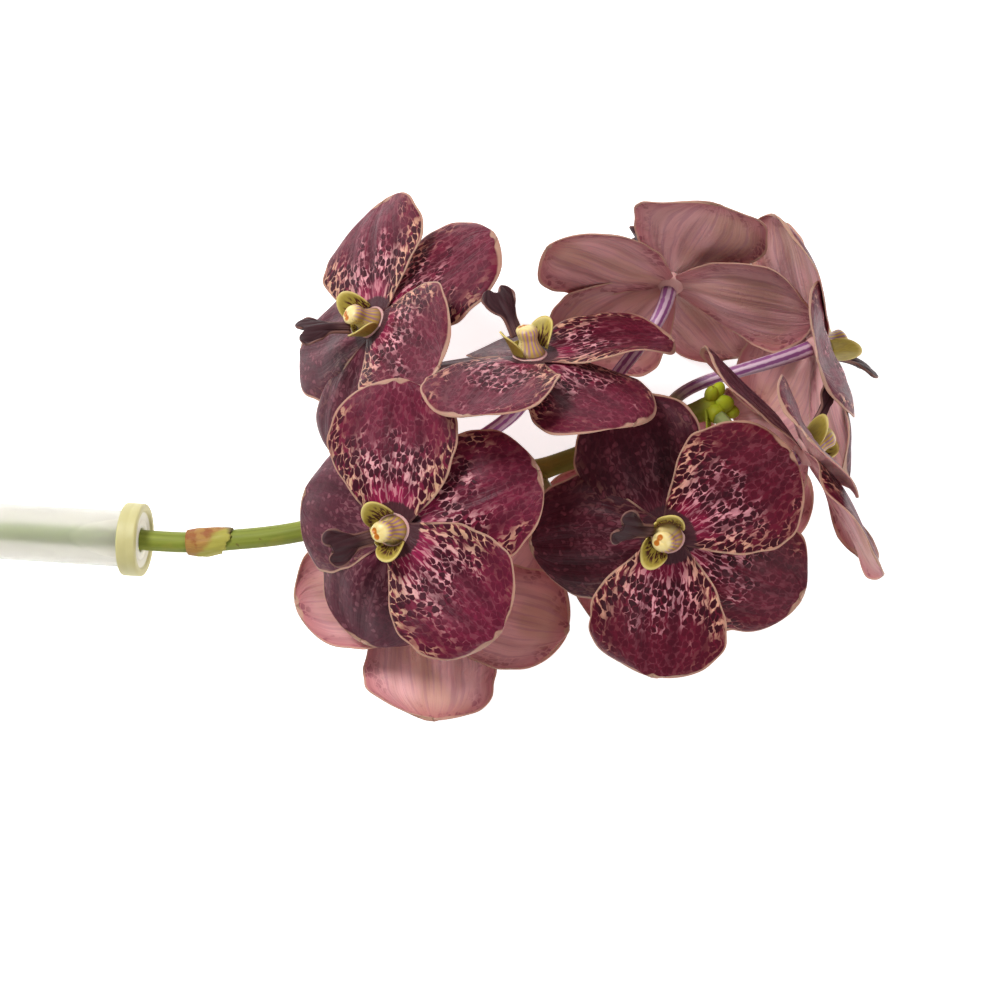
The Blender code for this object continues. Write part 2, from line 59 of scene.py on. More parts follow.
# %% Colours and nodes
def linear(code):
    """sRGB hex to linear: c / 12.92 for dark values, ((c + 0.055) / 1.055) ** 2.4 for the others."""
    parts = [int(code[i : i + 2], 16) / 255 for i in (1, 3, 5)]
    return (*[c / 12.92 if c < 0.04045 else ((c + 0.055) / 1.055) ** 2.4 for c in parts], 1.0)


def add(tree, kind, settings, inputs):
    """One node with its settings and inputs. An input that is another node's output becomes a link."""
    made = tree.nodes.new("ShaderNode" + kind)
    for key, value in settings.items():
        setattr(made, key, value)
    for key, value in inputs.items():
        if isinstance(value, bpy.types.NodeSocket):
            tree.links.new(value, made.inputs[key])
        else:
            made.inputs[key].default_value = value
    return made.outputs


def new_material(name):
    """A material without nodes, and its tree. Each one ends with a shader node and an output node."""
    material = bpy.data.materials.new(name)
    material.use_nodes = True
    material.node_tree.nodes.clear()
    return material, material.node_tree


SMOOTH = {"interpolation_type": "SMOOTHSTEP"}
TIMES = {"operation": "MULTIPLY"}
TIMES_PLUS = {"operation": "MULTIPLY_ADD"}
# In a Mix of colours, input 0 is the share of the second one, 6 and 7 are the two, and 2 is the output
MIX = {"data_type": "RGBA"}


def ramp(start, end, value, low=0.0, high=1.0):
    """The settings and inputs of a Map Range that goes smoothly from low to high."""
    return SMOOTH, {"Value": value, "From Min": start, "From Max": end, "To Min": low, "To Max": high}


print("pale rose in linear light:", [round(c, 3) for c in linear("#dba7a8")])

# %% [markdown]
# Every piece below is a surface: a grid of points that is worked out in one go with numpy. A grid needs
# faces, and a thin petal needs a front, a back and a rim. Each point also carries tags, three numbers each,
# which the materials read later.


# %% Grids and blades
def grid(rows, columns):
    """Two arrays of the parameters u and v, each from 0 to 1."""
    return np.meshgrid(np.linspace(0, 1, rows), np.linspace(0, 1, columns), indexing="ij")


def quads(rows, columns, first=0):
    """The four corners of each face of a grid, whose point (i, j) is number i * columns + j."""
    index = first + np.arange(rows * columns).reshape(rows, columns)
    corners = (index[:-1, :-1], index[1:, :-1], index[1:, 1:], index[:-1, 1:])
    return np.stack(corners, axis=-1).reshape(-1, 4)


def normals(points):
    """The unit normal at each point of a grid: the cross product of its two slopes."""
    normal = np.cross(np.gradient(points, axis=0), np.gradient(points, axis=1))
    return normal / np.maximum(np.linalg.norm(normal, axis=-1, keepdims=True), 1e-9)


def sheet_of(points, tags):
    """One open or wrapped grid as (points, faces, tags). Tags are arrays of three numbers a point."""
    rows, columns = points.shape[:2]
    flat = {name: np.broadcast_to(value, points.shape).reshape(-1, 3) for name, value in tags.items()}
    return points.reshape(-1, 3), quads(rows, columns), flat


def blade_of(points, thickness, tags):
    """A thin closed blade: the grid moved half its thickness to each side, and a rim round it. The tag
    named sides has 1 on the front in its first place and 0 on the back."""
    normal = normals(points)
    half = np.broadcast_to(thickness, points.shape[:2])[..., None] / 2
    rows, columns = points.shape[:2]
    count = rows * columns
    index = np.arange(count).reshape(rows, columns)
    border = np.concatenate((index[0], index[1:, -1], index[-1, -2::-1], index[-2:0:-1, 0]))
    after = np.roll(border, -1)
    rim = np.stack((border, after, after + count, border + count), axis=1)
    faces = np.concatenate((quads(rows, columns), quads(rows, columns, count)[:, ::-1], rim))
    both = {}
    for name, value in tags.items():
        front = np.broadcast_to(value, points.shape).reshape(-1, 3).copy()
        back = front.copy()
        if name == "sides":
            front[:, 0], back[:, 0] = 1, 0
        both[name] = np.concatenate((front, back))
    shell = np.stack((points + normal * half, points - normal * half)).reshape(-1, 3)
    return shell, faces, both


print("a grid of 3 by 4 points has", len(quads(3, 4)), "faces")

# %% [markdown]
# A piece is often several such shells, so they are joined as arrays. Then one function puts the arrays into
# a mesh, merges its repeated points and turns its faces outwards. It also says that the piece rides on the
# fixed body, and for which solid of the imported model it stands.


# %% From arrays to a piece
def joined(parts):
    """Several (points, faces, tags) as one."""
    starts = np.cumsum([0] + [len(part[0]) for part in parts])
    points = np.concatenate([part[0] for part in parts])
    faces = np.concatenate([part[1] + start for part, start in zip(parts, starts)])
    tags = {name: np.concatenate([part[2][name] for part in parts]) for name in parts[0][2]}
    return points, faces, tags


def add_piece(name, part, material, node):
    """A mesh object from (points in mm, faces, tags), which rides on the root and stands for a CAD node."""
    points, faces, tags = part
    mesh = bpy.data.meshes.new(name)
    mesh.from_pydata((points * MM).tolist(), [], faces.tolist())
    for tag, values in tags.items():
        layer = mesh.attributes.new(tag, "FLOAT_VECTOR", "POINT")
        layer.data.foreach_set("vector", values.astype(np.float32).ravel())
    shape = bmesh.new()
    shape.from_mesh(mesh)
    bmesh.ops.remove_doubles(shape, verts=shape.verts, dist=0.002 * MM)
    bmesh.ops.recalc_face_normals(shape, faces=shape.faces)
    shape.to_mesh(mesh)
    shape.free()
    mesh.shade_smooth()
    mesh.materials.append(material)
    made = bpy.data.objects.new(name, mesh)
    bpy.context.scene.collection.objects.link(made)
    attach(made, "root")
    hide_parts(node)
    return made


# %% [markdown]
# A rod, such as the stem or a flower's stalk, is a circle carried along a path. At each point of the path
# two directions square to it are needed, and they should turn as little as possible from point to point,
# or the rod's ribs would wind round it. Starting from any one and taking out, step by step, the part that
# lies along the path does that well enough for gentle bends.


# %% Paths
def unit(vector):
    """A vector, or each vector of an array, divided by its length."""
    vector = np.asarray(vector, float)
    return vector / np.linalg.norm(vector, axis=-1, keepdims=True)


def smooth_path(points, steps):
    """A path through all the points (Catmull-Rom), with so many steps from one to the next."""
    points = np.array(points, float)
    points = np.vstack((2 * points[0] - points[1], points, 2 * points[-1] - points[-2]))
    t = (np.arange(steps) / steps)[:, None]
    stretches = [
        (2 * b + (c - a) * t + (2 * a - 5 * b + 4 * c - d) * t**2 + (3 * b - a - 3 * c + d) * t**3) / 2
        for a, b, c, d in zip(points, points[1:], points[2:], points[3:])
    ]
    return np.vstack((*stretches, points[-2]))


def bezier(start, first, second, end, count):
    """The four points weighted by (1 - t)^3, 3 (1 - t)^2 t, 3 (1 - t) t^2 and t^3."""
    t = np.linspace(0, 1, count)[:, None]
    return (1 - t) ** 3 * start + 3 * (1 - t) ** 2 * t * first + 3 * (1 - t) * t**2 * second + t**3 * end


def frames_along(path):
    """For each point of a path, its direction and two unit vectors square to it."""
    along = unit(np.gradient(path, axis=0))
    first = [unit(np.cross(along[0], (0.1, 0.2, 1.0)))]
    for direction in along[1:]:
        first.append(unit(first[-1] - (first[-1] @ direction) * direction))
    first = np.array(first)
    return along, first, np.cross(along, first)


print("points of a path in four steps:", len(smooth_path([(0, 0), (1, 1), (2, 0)], 2)))

# %% [markdown]
# A rod is a grid too: one parameter goes along the path and the other goes round it. A turned piece, such
# as a cap, is the same with a straight axis: the profile's points go round it one by one.


# %% Rods and turned pieces
def rod_of(path, radius, columns=24):
    """A closed rod. The radius is a function of the share along and the angle round. The tag holds the
    millimetres along, and the cosine and sine of the angle."""
    _, first, second = frames_along(path)
    steps = np.linalg.norm(np.diff(path, axis=0), axis=1)
    length = np.concatenate(([0], np.cumsum(steps)))
    turn = np.linspace(0, 2 * np.pi, columns + 1)
    share, angle = np.meshgrid(length / length[-1], turn, indexing="ij")
    reach = radius(share, angle)
    ring = np.cos(angle)[..., None] * first[:, None] + np.sin(angle)[..., None] * second[:, None]
    points = path[:, None] + reach[..., None] * ring
    closed = np.concatenate((np.broadcast_to(path[:1, None], points[:1].shape), points))
    closed = np.concatenate((closed, np.broadcast_to(path[-1:, None], points[:1].shape)))
    values = np.stack((share * length[-1], np.cos(angle), np.sin(angle)), axis=-1)
    return sheet_of(closed, {"rod": np.concatenate((values[:1], values, values[-1:]))})


def turned_of(profile, steps, matrix, closed=False):
    """A profile of (radius, height) turned round the z axis of a frame. The tag holds radius, height and
    the angle's cosine."""
    profile = np.array(profile, float)
    if closed:
        profile = np.vstack((profile, profile[:1]))
    turn = np.linspace(0, 2 * np.pi, steps + 1)
    radius, angle = np.meshgrid(profile[:, 0], turn, indexing="ij")
    height = np.broadcast_to(profile[:, 1:2], radius.shape)
    local = np.stack((radius * np.cos(angle), radius * np.sin(angle), height), axis=-1)
    tags = {"turned": np.stack((radius, height, np.cos(angle)), axis=-1)}
    return sheet_of(placed(local, matrix), tags)


def placed(points, matrix):
    """Points taken out of a frame, given as a 4 x 4 array in millimetres."""
    return points @ matrix[:3, :3].T + matrix[:3, 3]


disc, _, _ = turned_of(((0, 0), (1, 0)), 12, np.eye(4))
print("a turned disc of twelve steps:", disc.shape[0], "points before its repeated points are merged")

# %% [markdown]
# The model's drawing was made round the middle of the flowers, and then the whole was moved so that its
# box is centred. The cap of the water tube is a plain ring, so the middle of its box gives that move.
# The tube leans: its closed end lies on the surface and its mouth is held up by the stem.

# %% Where the flower lies
TUBE_LENGTH = 76.0
TUBE_TILT = np.radians(10.5)
TUBE_SLANT = np.radians(-3.4)
MOUTH = (-113.5, -12.4)
CAP_FRONT, CAP_BACK = 2.4, 3.8

tube_axis = np.array(
    (
        np.cos(TUBE_TILT) * np.cos(TUBE_SLANT),
        np.cos(TUBE_TILT) * np.sin(TUBE_SLANT),
        np.sin(TUBE_TILT),
    )
)
low, high = (np.array(corner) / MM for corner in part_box("tube_cap"))
mouth = (low + high) / 2 + tube_axis * (CAP_BACK - CAP_FRONT) / 2
shift = np.array((mouth[0] - MOUTH[0], mouth[1] - MOUTH[1], 0))
down = np.array((0, 0, -1)) + tube_axis * tube_axis[2]
tube_frame = np.eye(4)
tube_frame[:3, 0] = unit(down)
tube_frame[:3, 1] = np.cross(tube_axis, unit(down))
tube_frame[:3, 2] = tube_axis
tube_frame[:3, 3] = mouth - tube_axis * TUBE_LENGTH
print("the drawing was moved by", shift.round(2), "mm, and the tube's mouth is at", mouth.round(2))

# %% [markdown]
# Nine blooms stand round the stem. Each has its own frame: z is the way that its face looks, y points to
# its dorsal sepal, and the lip hangs towards -y. The values are the same as in the solid model, so every
# piece stays where its solid is. Each bloom also says where its stalk leaves the stem, and which of its
# tepals (petals and sepals together are called tepals) bend otherwise than usual.

# %% The nine blooms
HUB_DEPTH = 4.0
BLOOMS = (
    dict(
        centre=(-32, -9, 78),
        looks=(-0.3, 0, 0.9),
        top=(0.95, 0.4, 0.2),
        stem_x=-55,
        bends={"sepal_right": (-10, -10, 0), "sepal_left": (-10, -10, 0)},
    ),
    dict(
        centre=(-40, 55, 39),
        looks=(-0.6, 0.35, 0.6),
        top=(1, 0.3, -0.1),
        stem_x=-31,
        bends={"petal_right": (5, 5, 0)},
    ),
    dict(centre=(-23, -30, 22), looks=(-0.1, -0.6, -0.95), top=(1.1, -0.3, 0.3), stem_x=-20, bends={}),
    dict(centre=(9, 44, 68), looks=(-0.05, 0.95, 0.45), top=(0.7, -0.4, 0.75), stem_x=-17, bends={}),
    dict(
        centre=(50, -11, 76),
        looks=(-0.1, -0.25, 0.9),
        top=(0.85, -0.5, 0),
        stem_x=10,
        bends={"dorsal": (-5, 0, 0)},
    ),
    dict(
        centre=(53, 68, 36),
        looks=(0.2, 0.75, -0.5),
        top=(0.95, 0, 0.15),
        stem_x=29,
        bends={"petal_left": (5, 5, 0)},
    ),
    dict(
        centre=(55, -15, 17),
        looks=(0.1, -0.55, -0.9),
        top=(0.75, 0.35, -0.1),
        stem_x=36,
        bends={"petal_right": (-10, 0, -5), "petal_left": (-15, 0, 0)},
    ),
    dict(
        centre=(99, 48, 39),
        looks=(0.9, 0.35, -0.35),
        top=(0.4, 0.85, 0.15),
        stem_x=51,
        bends={
            "sepal_right": (5, 0, -5),
            "petal_right": (5, 5, 0),
            "petal_left": (-20, -15, 0),
            "sepal_left": (0, 0, 10),
        },
    ),
    dict(
        centre=(93, 15, 70),
        looks=(0.85, 0.5, 0),
        top=(0.25, -0.85, 0.5),
        stem_x=64,
        bends={"dorsal": (10, 0, 0)},
    ),
)
# How deep the burgundy of each bloom is, partly its own colour and partly painted shade on the blooms that
# lie in shadow: 0 is the palest and 1 the deepest
BLOOM_DEPTH_AND_SHADE = (0.0, 0.3, 0.2, 0.35, 0.75, 0.3, 0.5, 0.4, 0.6)


def bloom_frame(bloom):
    """The bloom's own frame as a 4 x 4 array: x to its right, y to its top, z the way it looks."""
    z = unit(bloom["looks"])
    y = unit(np.array(bloom["top"]) - (np.array(bloom["top"]) @ z) * z)
    matrix = np.eye(4)
    matrix[:3, 0], matrix[:3, 1], matrix[:3, 2] = np.cross(y, z), y, z
    matrix[:3, 3] = np.array(bloom["centre"]) + shift
    return matrix


print("blooms:", len(BLOOMS))

# %% [markdown]
# Five pieces are made nine times, once for each bloom. One function does that for all of them: it asks for
# the piece's surface, adds it, and says for which solid of that bloom it stands.


# %% A piece for each bloom
def add_to_blooms(name, part_of, material, node):
    """Nine pieces. part_of(number, bloom) gives the surface as (points, faces, tags)."""
    for number, bloom in enumerate(BLOOMS, start=1):
        part = part_of(number, bloom)
        made = add_piece(f"{name}_{number}", part, material, f"bloom_{number}_{node}")
    print(name, "of the last bloom:", len(made.data.polygons), "faces")


print("pieces to come:", 5 * len(BLOOMS))

# %% [markdown]
# A tepal is a broad waxy blade on a short claw. Its midline is a bent strip: a strip that leaves at one
# angle and turns evenly has the shape of an arc. Its half-width rises in the claw, holds, and rounds off at
# the tip. The table gives each of the five its own plan, with lengths in millimetres and angles in degrees.
# A negative curl bends the tip back, and a positive cup raises the sides.

# %% The plan of a tepal
TEPALS = {
    "dorsal": dict(angle=90, length=47, width=40, depth=2.0, lift=0, curl=-18, cup=-2.0, twist=0),
    "petal_right": dict(angle=24, length=45, width=42, depth=0.9, lift=9, curl=-20, cup=2.5, twist=6),
    "petal_left": dict(angle=156, length=45, width=42, depth=0.9, lift=9, curl=-20, cup=2.5, twist=-6),
    "sepal_right": dict(angle=-51, length=44, width=40, depth=2.6, lift=-6, curl=-14, cup=-3.0, twist=0),
    "sepal_left": dict(angle=231, length=44, width=40, depth=2.6, lift=-6, curl=-14, cup=-3.0, twist=0),
}
CLAW, WIDEST = 0.26, 0.56
TEPAL_ROOT = 2.2


def arc(length, lift, curl, share):
    """out = L / turn * (sin(slope) - sin(start)), up = L / turn * (cos(start) - cos(slope))."""
    start, turn = np.radians(lift), np.radians(curl)
    slope = start + turn * share
    out = length / turn * (np.sin(slope) - np.sin(start))
    up = length / turn * (np.cos(start) - np.cos(slope))
    return out, up, slope


def outline(share):
    """Half-width as a share of its largest: a sine from the claw up to the widest place, then a tip that
    is rounder than an ellipse's."""
    rise = CLAW + (1 - CLAW) * np.sin(np.clip(share / WIDEST, 0, 1) * np.pi / 2) ** 1.1
    past = np.clip((share - WIDEST) / (1 - WIDEST), 0, 1)
    return rise * np.sqrt(1 - past**2.2)


shares = np.array((0.0, WIDEST, 0.95))
print("half-widths at the claw, the widest place and near the tip:", outline(shares).round(2))

# %% [markdown]
# On top of the plan come the small things that make it a petal: long folds, a wavy edge, a furrow along the
# middle, and a margin that rolls back. They are heights along the surface's normal, and sines are enough for
# all of them. Each tepal has its own phase, so that no two are alike.

# %% The relief of a tepal
FOLDS = {"dorsal": 0.22, "petal_right": 0.22, "petal_left": 0.22, "sepal_right": 0.45, "sepal_left": 0.45}


def folds_of(share, across, phase):
    """From -1 to 1: long folds that fan out from the claw and fade at the margin and the tip."""
    wave = np.cos(13 * across + 2 * np.sin(3 * share) + phase)
    return wave * (1 - np.abs(across) ** 3) * np.sin(np.pi * np.clip(share * 1.05, 0, 1)) ** 0.7


def relief(share, across, side, phase, fold):
    """The small heights of a tepal in mm: an edge wave, two long swells, folds, a middle furrow, and a
    margin that rolls back."""
    tip = np.clip(2 * outline(share), 0, 1)
    edge = np.abs(across) ** 3 * tip
    wave = 1.4 * edge * share * np.sin(8.5 * share + 1.5 * np.sign(across) + phase)
    swell = 0.9 * np.sin(side / 6 + phase) * np.sin(np.pi * share)
    swell += 0.7 * np.sin(7 * share + 2 * phase) * np.cos(across * 1.5)
    folds = fold * folds_of(share, across, phase)
    furrow = -0.5 * np.exp(-((side / 1.1) ** 2)) * (1 - 0.6 * share)
    roll = 0.7 + 1.1 * np.sin(4.5 * share + 2.6 * np.sign(across) + 3 * phase) ** 2
    rolled = -roll * np.abs(across) ** 6 * np.clip(2 * share, 0, 1) * tip
    return (wave + swell + folds + furrow + rolled) * np.clip(4 * share, 0, 1)


print("the folds of a lateral sepal rise", FOLDS["sepal_left"], "mm")

# %% [markdown]
# The pattern follows the tepal, so the mesh carries what the pattern needs to know at each point: how far
# it is from the flower's middle and from the margin, and a pair of coordinates in which all the pattern's
# cells are of one size. On the real petal the cells near the throat are long and narrow and those further
# out are broad and round. One step of the coordinate is one cell, so it is the integral of 1 / length.

# %% What the pattern needs to know
NETTING = {"dorsal": 1.0, "petal_right": 1.0, "petal_left": 1.0, "sepal_right": 0.15, "sepal_left": 0.15}


def cell_count(radius):
    """How many cells lie between the flower's middle and a radius, for cells 2.5 + 4.5 exp(-(r / 12)^2) mm
    long: the running sum of dr / length."""
    steps = np.linspace(0, 70, 281)
    counts = np.cumsum(0.25 / (2.5 + 4.5 * np.exp(-((steps / 12) ** 2))))
    return np.interp(radius, steps, counts)


def leaf_tags(tepal, share, across, phase, netting):
    """cells: cells along, cells across and the folds. zone: mm from the middle, mm from the margin, and how
    strong the net is. sides: front, across and share."""
    out = TEPAL_ROOT + (tepal["length"] - TEPAL_ROOT) * share
    half = outline(share) * tepal["width"] / 2
    side = across * half
    radius = np.hypot(out, side)
    border_share = np.sin(np.linspace(0, np.pi / 2, 240))
    border_out = TEPAL_ROOT + (tepal["length"] - TEPAL_ROOT) * border_share
    border_side = outline(border_share) * tepal["width"] / 2
    gap = np.hypot(out[..., None] - border_out, np.abs(side)[..., None] - border_side)
    margin = gap.min(axis=-1)
    cell_width = 0.9 + 1.3 * (1 - np.exp(-((radius / 16) ** 2)))
    u = cell_count(radius) + 31.7 * phase
    v = side / cell_width + 17.3 * phase
    zero = np.zeros_like(share)
    return {
        "cells": np.stack((u, v, folds_of(share, across, phase)), axis=-1),
        "zone": np.stack((radius, margin, zero + netting), axis=-1),
        "sides": np.stack((zero, across, share), axis=-1),
    }


print("cells from the middle to a tip:", round(float(cell_count(TEPALS["dorsal"]["length"])), 1))

# %% [markdown]
# Now it all comes together. The rows of the grid are closer at the tip and its columns at the margins, where
# the surface bends most. Each point gets its place across the strip and its height over it, and a turn
# about the midline for the twist. Then the strip is bent along its arc and turned to its place in the bloom.

# %% A tepal
TEPAL_ROWS, TEPAL_COLUMNS = 69, 41


def tepal_of(name, bend, number):
    """The middle surface of one tepal, and its tags. Across the strip a point lies at the outline's
    half-width, which sways by about 3 %. Along the strip it follows the arc. Over it, it rises by the cup
    times the square of its share across, and by the relief."""
    tepal = TEPALS[name]
    lift, curl, twist = bend
    phase = 1.7 * number + 2.3 * list(TEPALS).index(name)
    along, across = grid(TEPAL_ROWS, TEPAL_COLUMNS)
    across = np.sin((across - 0.5) * np.pi)
    share = np.sin(along * 0.999 * np.pi / 2)
    side = across * outline(share) * tepal["width"] / 2
    uneven = 0.025 * np.sin(13 * share + phase + across) + 0.01 * np.sin(31 * share + 2 * phase + 3 * across)
    side = side * (1 + uneven)
    reach = share * (1 + 0.012 * np.sin(8 * across + phase) * share**4)
    out, up, slope = arc(tepal["length"] - TEPAL_ROOT, tepal["lift"] + lift, tepal["curl"] + curl, reach)
    rise = tepal["cup"] * (2 * side / tepal["width"]) ** 2 * np.clip(3 * share, 0, 1)
    rise = rise + relief(share, across, side, phase, FOLDS[name])
    turn = np.radians(tepal["twist"] + twist) * share
    side, rise = side * np.cos(turn) - rise * np.sin(turn), side * np.sin(turn) + rise * np.cos(turn)
    out = TEPAL_ROOT + out - rise * np.sin(slope)
    height = up - tepal["depth"] + rise * np.cos(slope)
    angle = np.radians(tepal["angle"])
    x = out * np.cos(angle) - side * np.sin(angle)
    y = out * np.sin(angle) + side * np.cos(angle)
    points = np.stack((x, y, height), axis=-1)
    tags = leaf_tags(tepal, share, across, phase, NETTING[name])
    # The tag tone carries how deep each bloom is, partly its own colour and partly painted shade.
    tags["tone"] = np.stack((0 * share + BLOOM_DEPTH_AND_SHADE[number - 1], 0 * share, 0 * share), axis=-1)
    return points, tags


points, tags = tepal_of("dorsal", (0, 0, 0), 1)
print("a dorsal sepal has", points.shape[0] * points.shape[1], "points on each side")

# %% [markdown]
# The finish of a tepal is the skin of a living petal. A thin layer of wax gives it a soft satin gloss, and
# a little light goes into its flesh and comes out again, which keeps its shadows warm. The colour is built
# in steps of a few nodes. The first step takes the tags apart, so that every later one has the millimetres
# from the middle and from the margin at hand.

# %% A tepal's tags in its material
petal_skin, tree = new_material("waxy_netted_petal")
cells = add(tree, "Attribute", {"attribute_name": "cells"}, {})["Vector"]
zone = add(tree, "Attribute", {"attribute_name": "zone"}, {})["Vector"]
sides = add(tree, "Attribute", {"attribute_name": "sides"}, {})["Vector"]
tone = add(tree, "Attribute", {"attribute_name": "tone"}, {})["Vector"]
radius, margin, netting = add(tree, "SeparateXYZ", {}, {0: zone})
front, across, share = add(tree, "SeparateXYZ", {}, {0: sides})
off_middle = add(tree, "Math", {"operation": "ABSOLUTE"}, {0: across})[0]
fold = add(tree, "SeparateXYZ", {}, {0: cells})[2]
bloom_depth_and_shade = add(tree, "SeparateXYZ", {}, {0: tone})[0]
print("nodes that read the tags:", len(tree.nodes))

# %% [markdown]
# A vanda's petals are netted: dark blotches stand close together on a lighter ground. A Voronoi texture
# spreads points over the surface, one to a cell. A blotch is where the distance to the nearest point is
# small, and it never reaches over the border to the next cell. A noise moves the coordinates first, by up
# to a third of a cell, and a finer one makes the edges ragged, so that no blotch is as round as a coin.

# %% The blotches
FLAT = {"noise_dimensions": "2D"}
NEAREST = {"voronoi_dimensions": "2D", "feature": "F1"}
TO_EDGE = {"voronoi_dimensions": "2D", "feature": "DISTANCE_TO_EDGE"}
wobble = add(tree, "TexNoise", FLAT, {"Vector": cells, "Scale": 1.2, "Detail": 1.0})["Color"]
centred = add(tree, "VectorMath", {"operation": "SUBTRACT"}, {0: wobble, 1: (0.5, 0.5, 0.5)})[0]
moved = add(tree, "VectorMath", TIMES_PLUS, {0: centred, 1: (0.7, 0.7, 0), 2: cells})[0]
border = add(tree, "TexVoronoi", TO_EDGE, {"Vector": moved, "Scale": 1.0})["Distance"]
spot = add(tree, "TexVoronoi", NEAREST, {"Vector": moved, "Scale": 1.0})
patchy = add(tree, "TexNoise", FLAT, {"Vector": cells, "Scale": 0.33, "Detail": 3.0})["Fac"]
fine = add(tree, "TexNoise", FLAT, {"Vector": cells, "Scale": 3.0, "Detail": 3.0})["Fac"]
border = add(tree, "Math", TIMES_PLUS, {0: fine, 1: 0.10, 2: border})[0]
blotch = add(tree, "Math", TIMES_PLUS, {0: fine, 1: 0.3, 2: spot["Distance"]})[0]
blotch = add(tree, "MapRange", *ramp(0.66, 0.50, blotch))[0]
apart = add(tree, "MapRange", *ramp(0.04, 0.18, border))[0]
blotch = add(tree, "Math", TIMES, {0: blotch, 1: apart})[0]
print("nodes so far:", len(tree.nodes))

# %% [markdown]
# The net is strong near the throat, fades outwards in patches, and comes back along the margin. So the
# distance from the middle is made shorter near the margin, and longer or shorter by a slow noise, before it
# is turned into a strength. The petals and the dorsal sepal have the full net, the lateral sepals little.

# %% How strong the net is
by_margin = add(tree, "MapRange", *ramp(9.0, 2.0, margin, 0.0, 9.0))[0]
uneven = add(tree, "Math", {"operation": "SUBTRACT"}, {0: radius, 1: by_margin})[0]
uneven = add(tree, "Math", TIMES_PLUS, {0: patchy, 1: -36.0, 2: uneven})[0]
strong = add(tree, "MapRange", *ramp(14.0, -2.0, uneven, 0.07, 1.0))[0]
strong = add(tree, "Math", TIMES, {0: strong, 1: netting})[0]
print("the net's share on each tepal:", NETTING)

# %% [markdown]
# The ground is burgundy, and magenta in the middle of the throat. The blotches on it are dark plum, deeper
# where the net is strong and fainter in the throat's glow. Every blotch is mixed in by its own share, so
# it has a soft edge, as the pigment of a petal has.

# %% The ground with its blotches
ground = add(tree, "Mix", MIX, {0: patchy, 6: linear("#5e142b"), 7: linear("#7d203c")})[2]
glow = add(tree, "MapRange", *ramp(18.0, 10.5, radius))[0]
middle = add(tree, "MapRange", *ramp(0.85, 0.35, off_middle))[0]
glow = add(tree, "Math", TIMES, {0: glow, 1: middle})[0]
ground = add(tree, "Mix", MIX, {0: glow, 6: ground, 7: linear("#98204c")})[2]
depth = add(tree, "MapRange", *ramp(0.0, 0.8, strong, 0.30, 0.95))[0]
calm = add(tree, "MapRange", *ramp(0.0, 1.0, glow, 1.0, 0.35))[0]
plum = add(tree, "Math", TIMES, {0: blotch, 1: depth})[0]
plum = add(tree, "Math", TIMES, {0: plum, 1: calm})[0]
ground = add(tree, "Mix", MIX, {0: plum, 6: ground, 7: linear("#3a0b1b")})[2]
print("burgundy in linear light:", [round(c, 3) for c in linear("#5e142b")])

# %% [markdown]
# The two lateral sepals are plainer and dusky, with a pale dot in the middle of some of their cells. The
# Voronoi texture also gives each cell a random colour, and one channel of it decides which cells have the
# dot. Last, some blooms are made deeper in colour than others. This is partly because the flowers of one
# stem vary, and partly painted shade on the blooms that lie in shadow.

# %% The lateral sepals, and the tone and painted shade of each bloom
DARKEN = MIX | {"blend_type": "MULTIPLY"}
lateral = add(tree, "Mix", MIX, {0: patchy, 6: linear("#3f1422"), 7: linear("#5f2a39")})[2]
dusky = add(tree, "Math", TIMES, {0: blotch, 1: 0.3})[0]
lateral = add(tree, "Mix", MIX, {0: dusky, 6: lateral, 7: linear("#310d1a")})[2]
chance = add(tree, "SeparateXYZ", {}, {0: spot["Color"]})[0]
chance = add(tree, "MapRange", *ramp(0.55, 0.80, chance, 0.0, 0.55))[0]
dot = add(tree, "MapRange", *ramp(0.40, 0.18, spot["Distance"]))[0]
dot = add(tree, "Math", TIMES, {0: dot, 1: chance})[0]
lateral = add(tree, "Mix", MIX, {0: dot, 6: lateral, 7: linear("#9a5d68")})[2]
ground = add(tree, "Mix", MIX, {0: netting, 6: lateral, 7: ground})[2]
# Each bloom's darkening: partly its natural tone, partly painted shade for blooms in shadow.
ground = add(tree, "Mix", DARKEN, {0: bloom_depth_and_shade, 6: ground, 7: linear("#d4a6b2")})[2]
print("the palest and the deepest bloom:", np.argmin(BLOOM_DEPTH_AND_SHADE) + 1, "and", np.argmax(BLOOM_DEPTH_AND_SHADE) + 1)

# %% [markdown]
# Between the blotches run pale marks, pink near the midline and cream towards the sides. They are a noise
# that is stretched along the petal, so they become streaks that run outwards. They keep off the blotches
# and follow the strength of the net. The furrows of the folds get painted shade: they are drawn a little
# darker, as the shade in a crease would be.

# %% The pale streaks, and painted shade in the furrows
streaks_at = add(tree, "VectorMath", TIMES, {0: moved, 1: (0.75, 2.2, 1.0)})[0]
streak = add(tree, "TexNoise", FLAT, {"Vector": streaks_at, "Scale": 1.0, "Detail": 3.0})["Fac"]
streak = add(tree, "MapRange", *ramp(0.40, 0.58, streak))[0]
open_ground = add(tree, "MapRange", *ramp(0.45, 0.0, blotch))[0]
streak = add(tree, "Math", TIMES, {0: streak, 1: open_ground})[0]
streak = add(tree, "Math", TIMES, {0: streak, 1: strong})[0]
held_back = add(tree, "MapRange", *ramp(0.2, 0.9, glow, 1.0, 0.6))[0]
streak = add(tree, "Math", TIMES, {0: streak, 1: held_back})[0]
tint = add(tree, "MapRange", *ramp(0.3, 0.9, off_middle))[0]
pale = add(tree, "Mix", MIX, {0: tint, 6: linear("#dca0a4"), 7: linear("#d6a888")})[2]
# The pale marks take the same darkening, partly tone and partly painted shade.
pale = add(tree, "Mix", DARKEN, {0: bloom_depth_and_shade, 6: pale, 7: linear("#fce8f4")})[2]
face = add(tree, "Mix", MIX, {0: streak, 6: ground, 7: pale})[2]
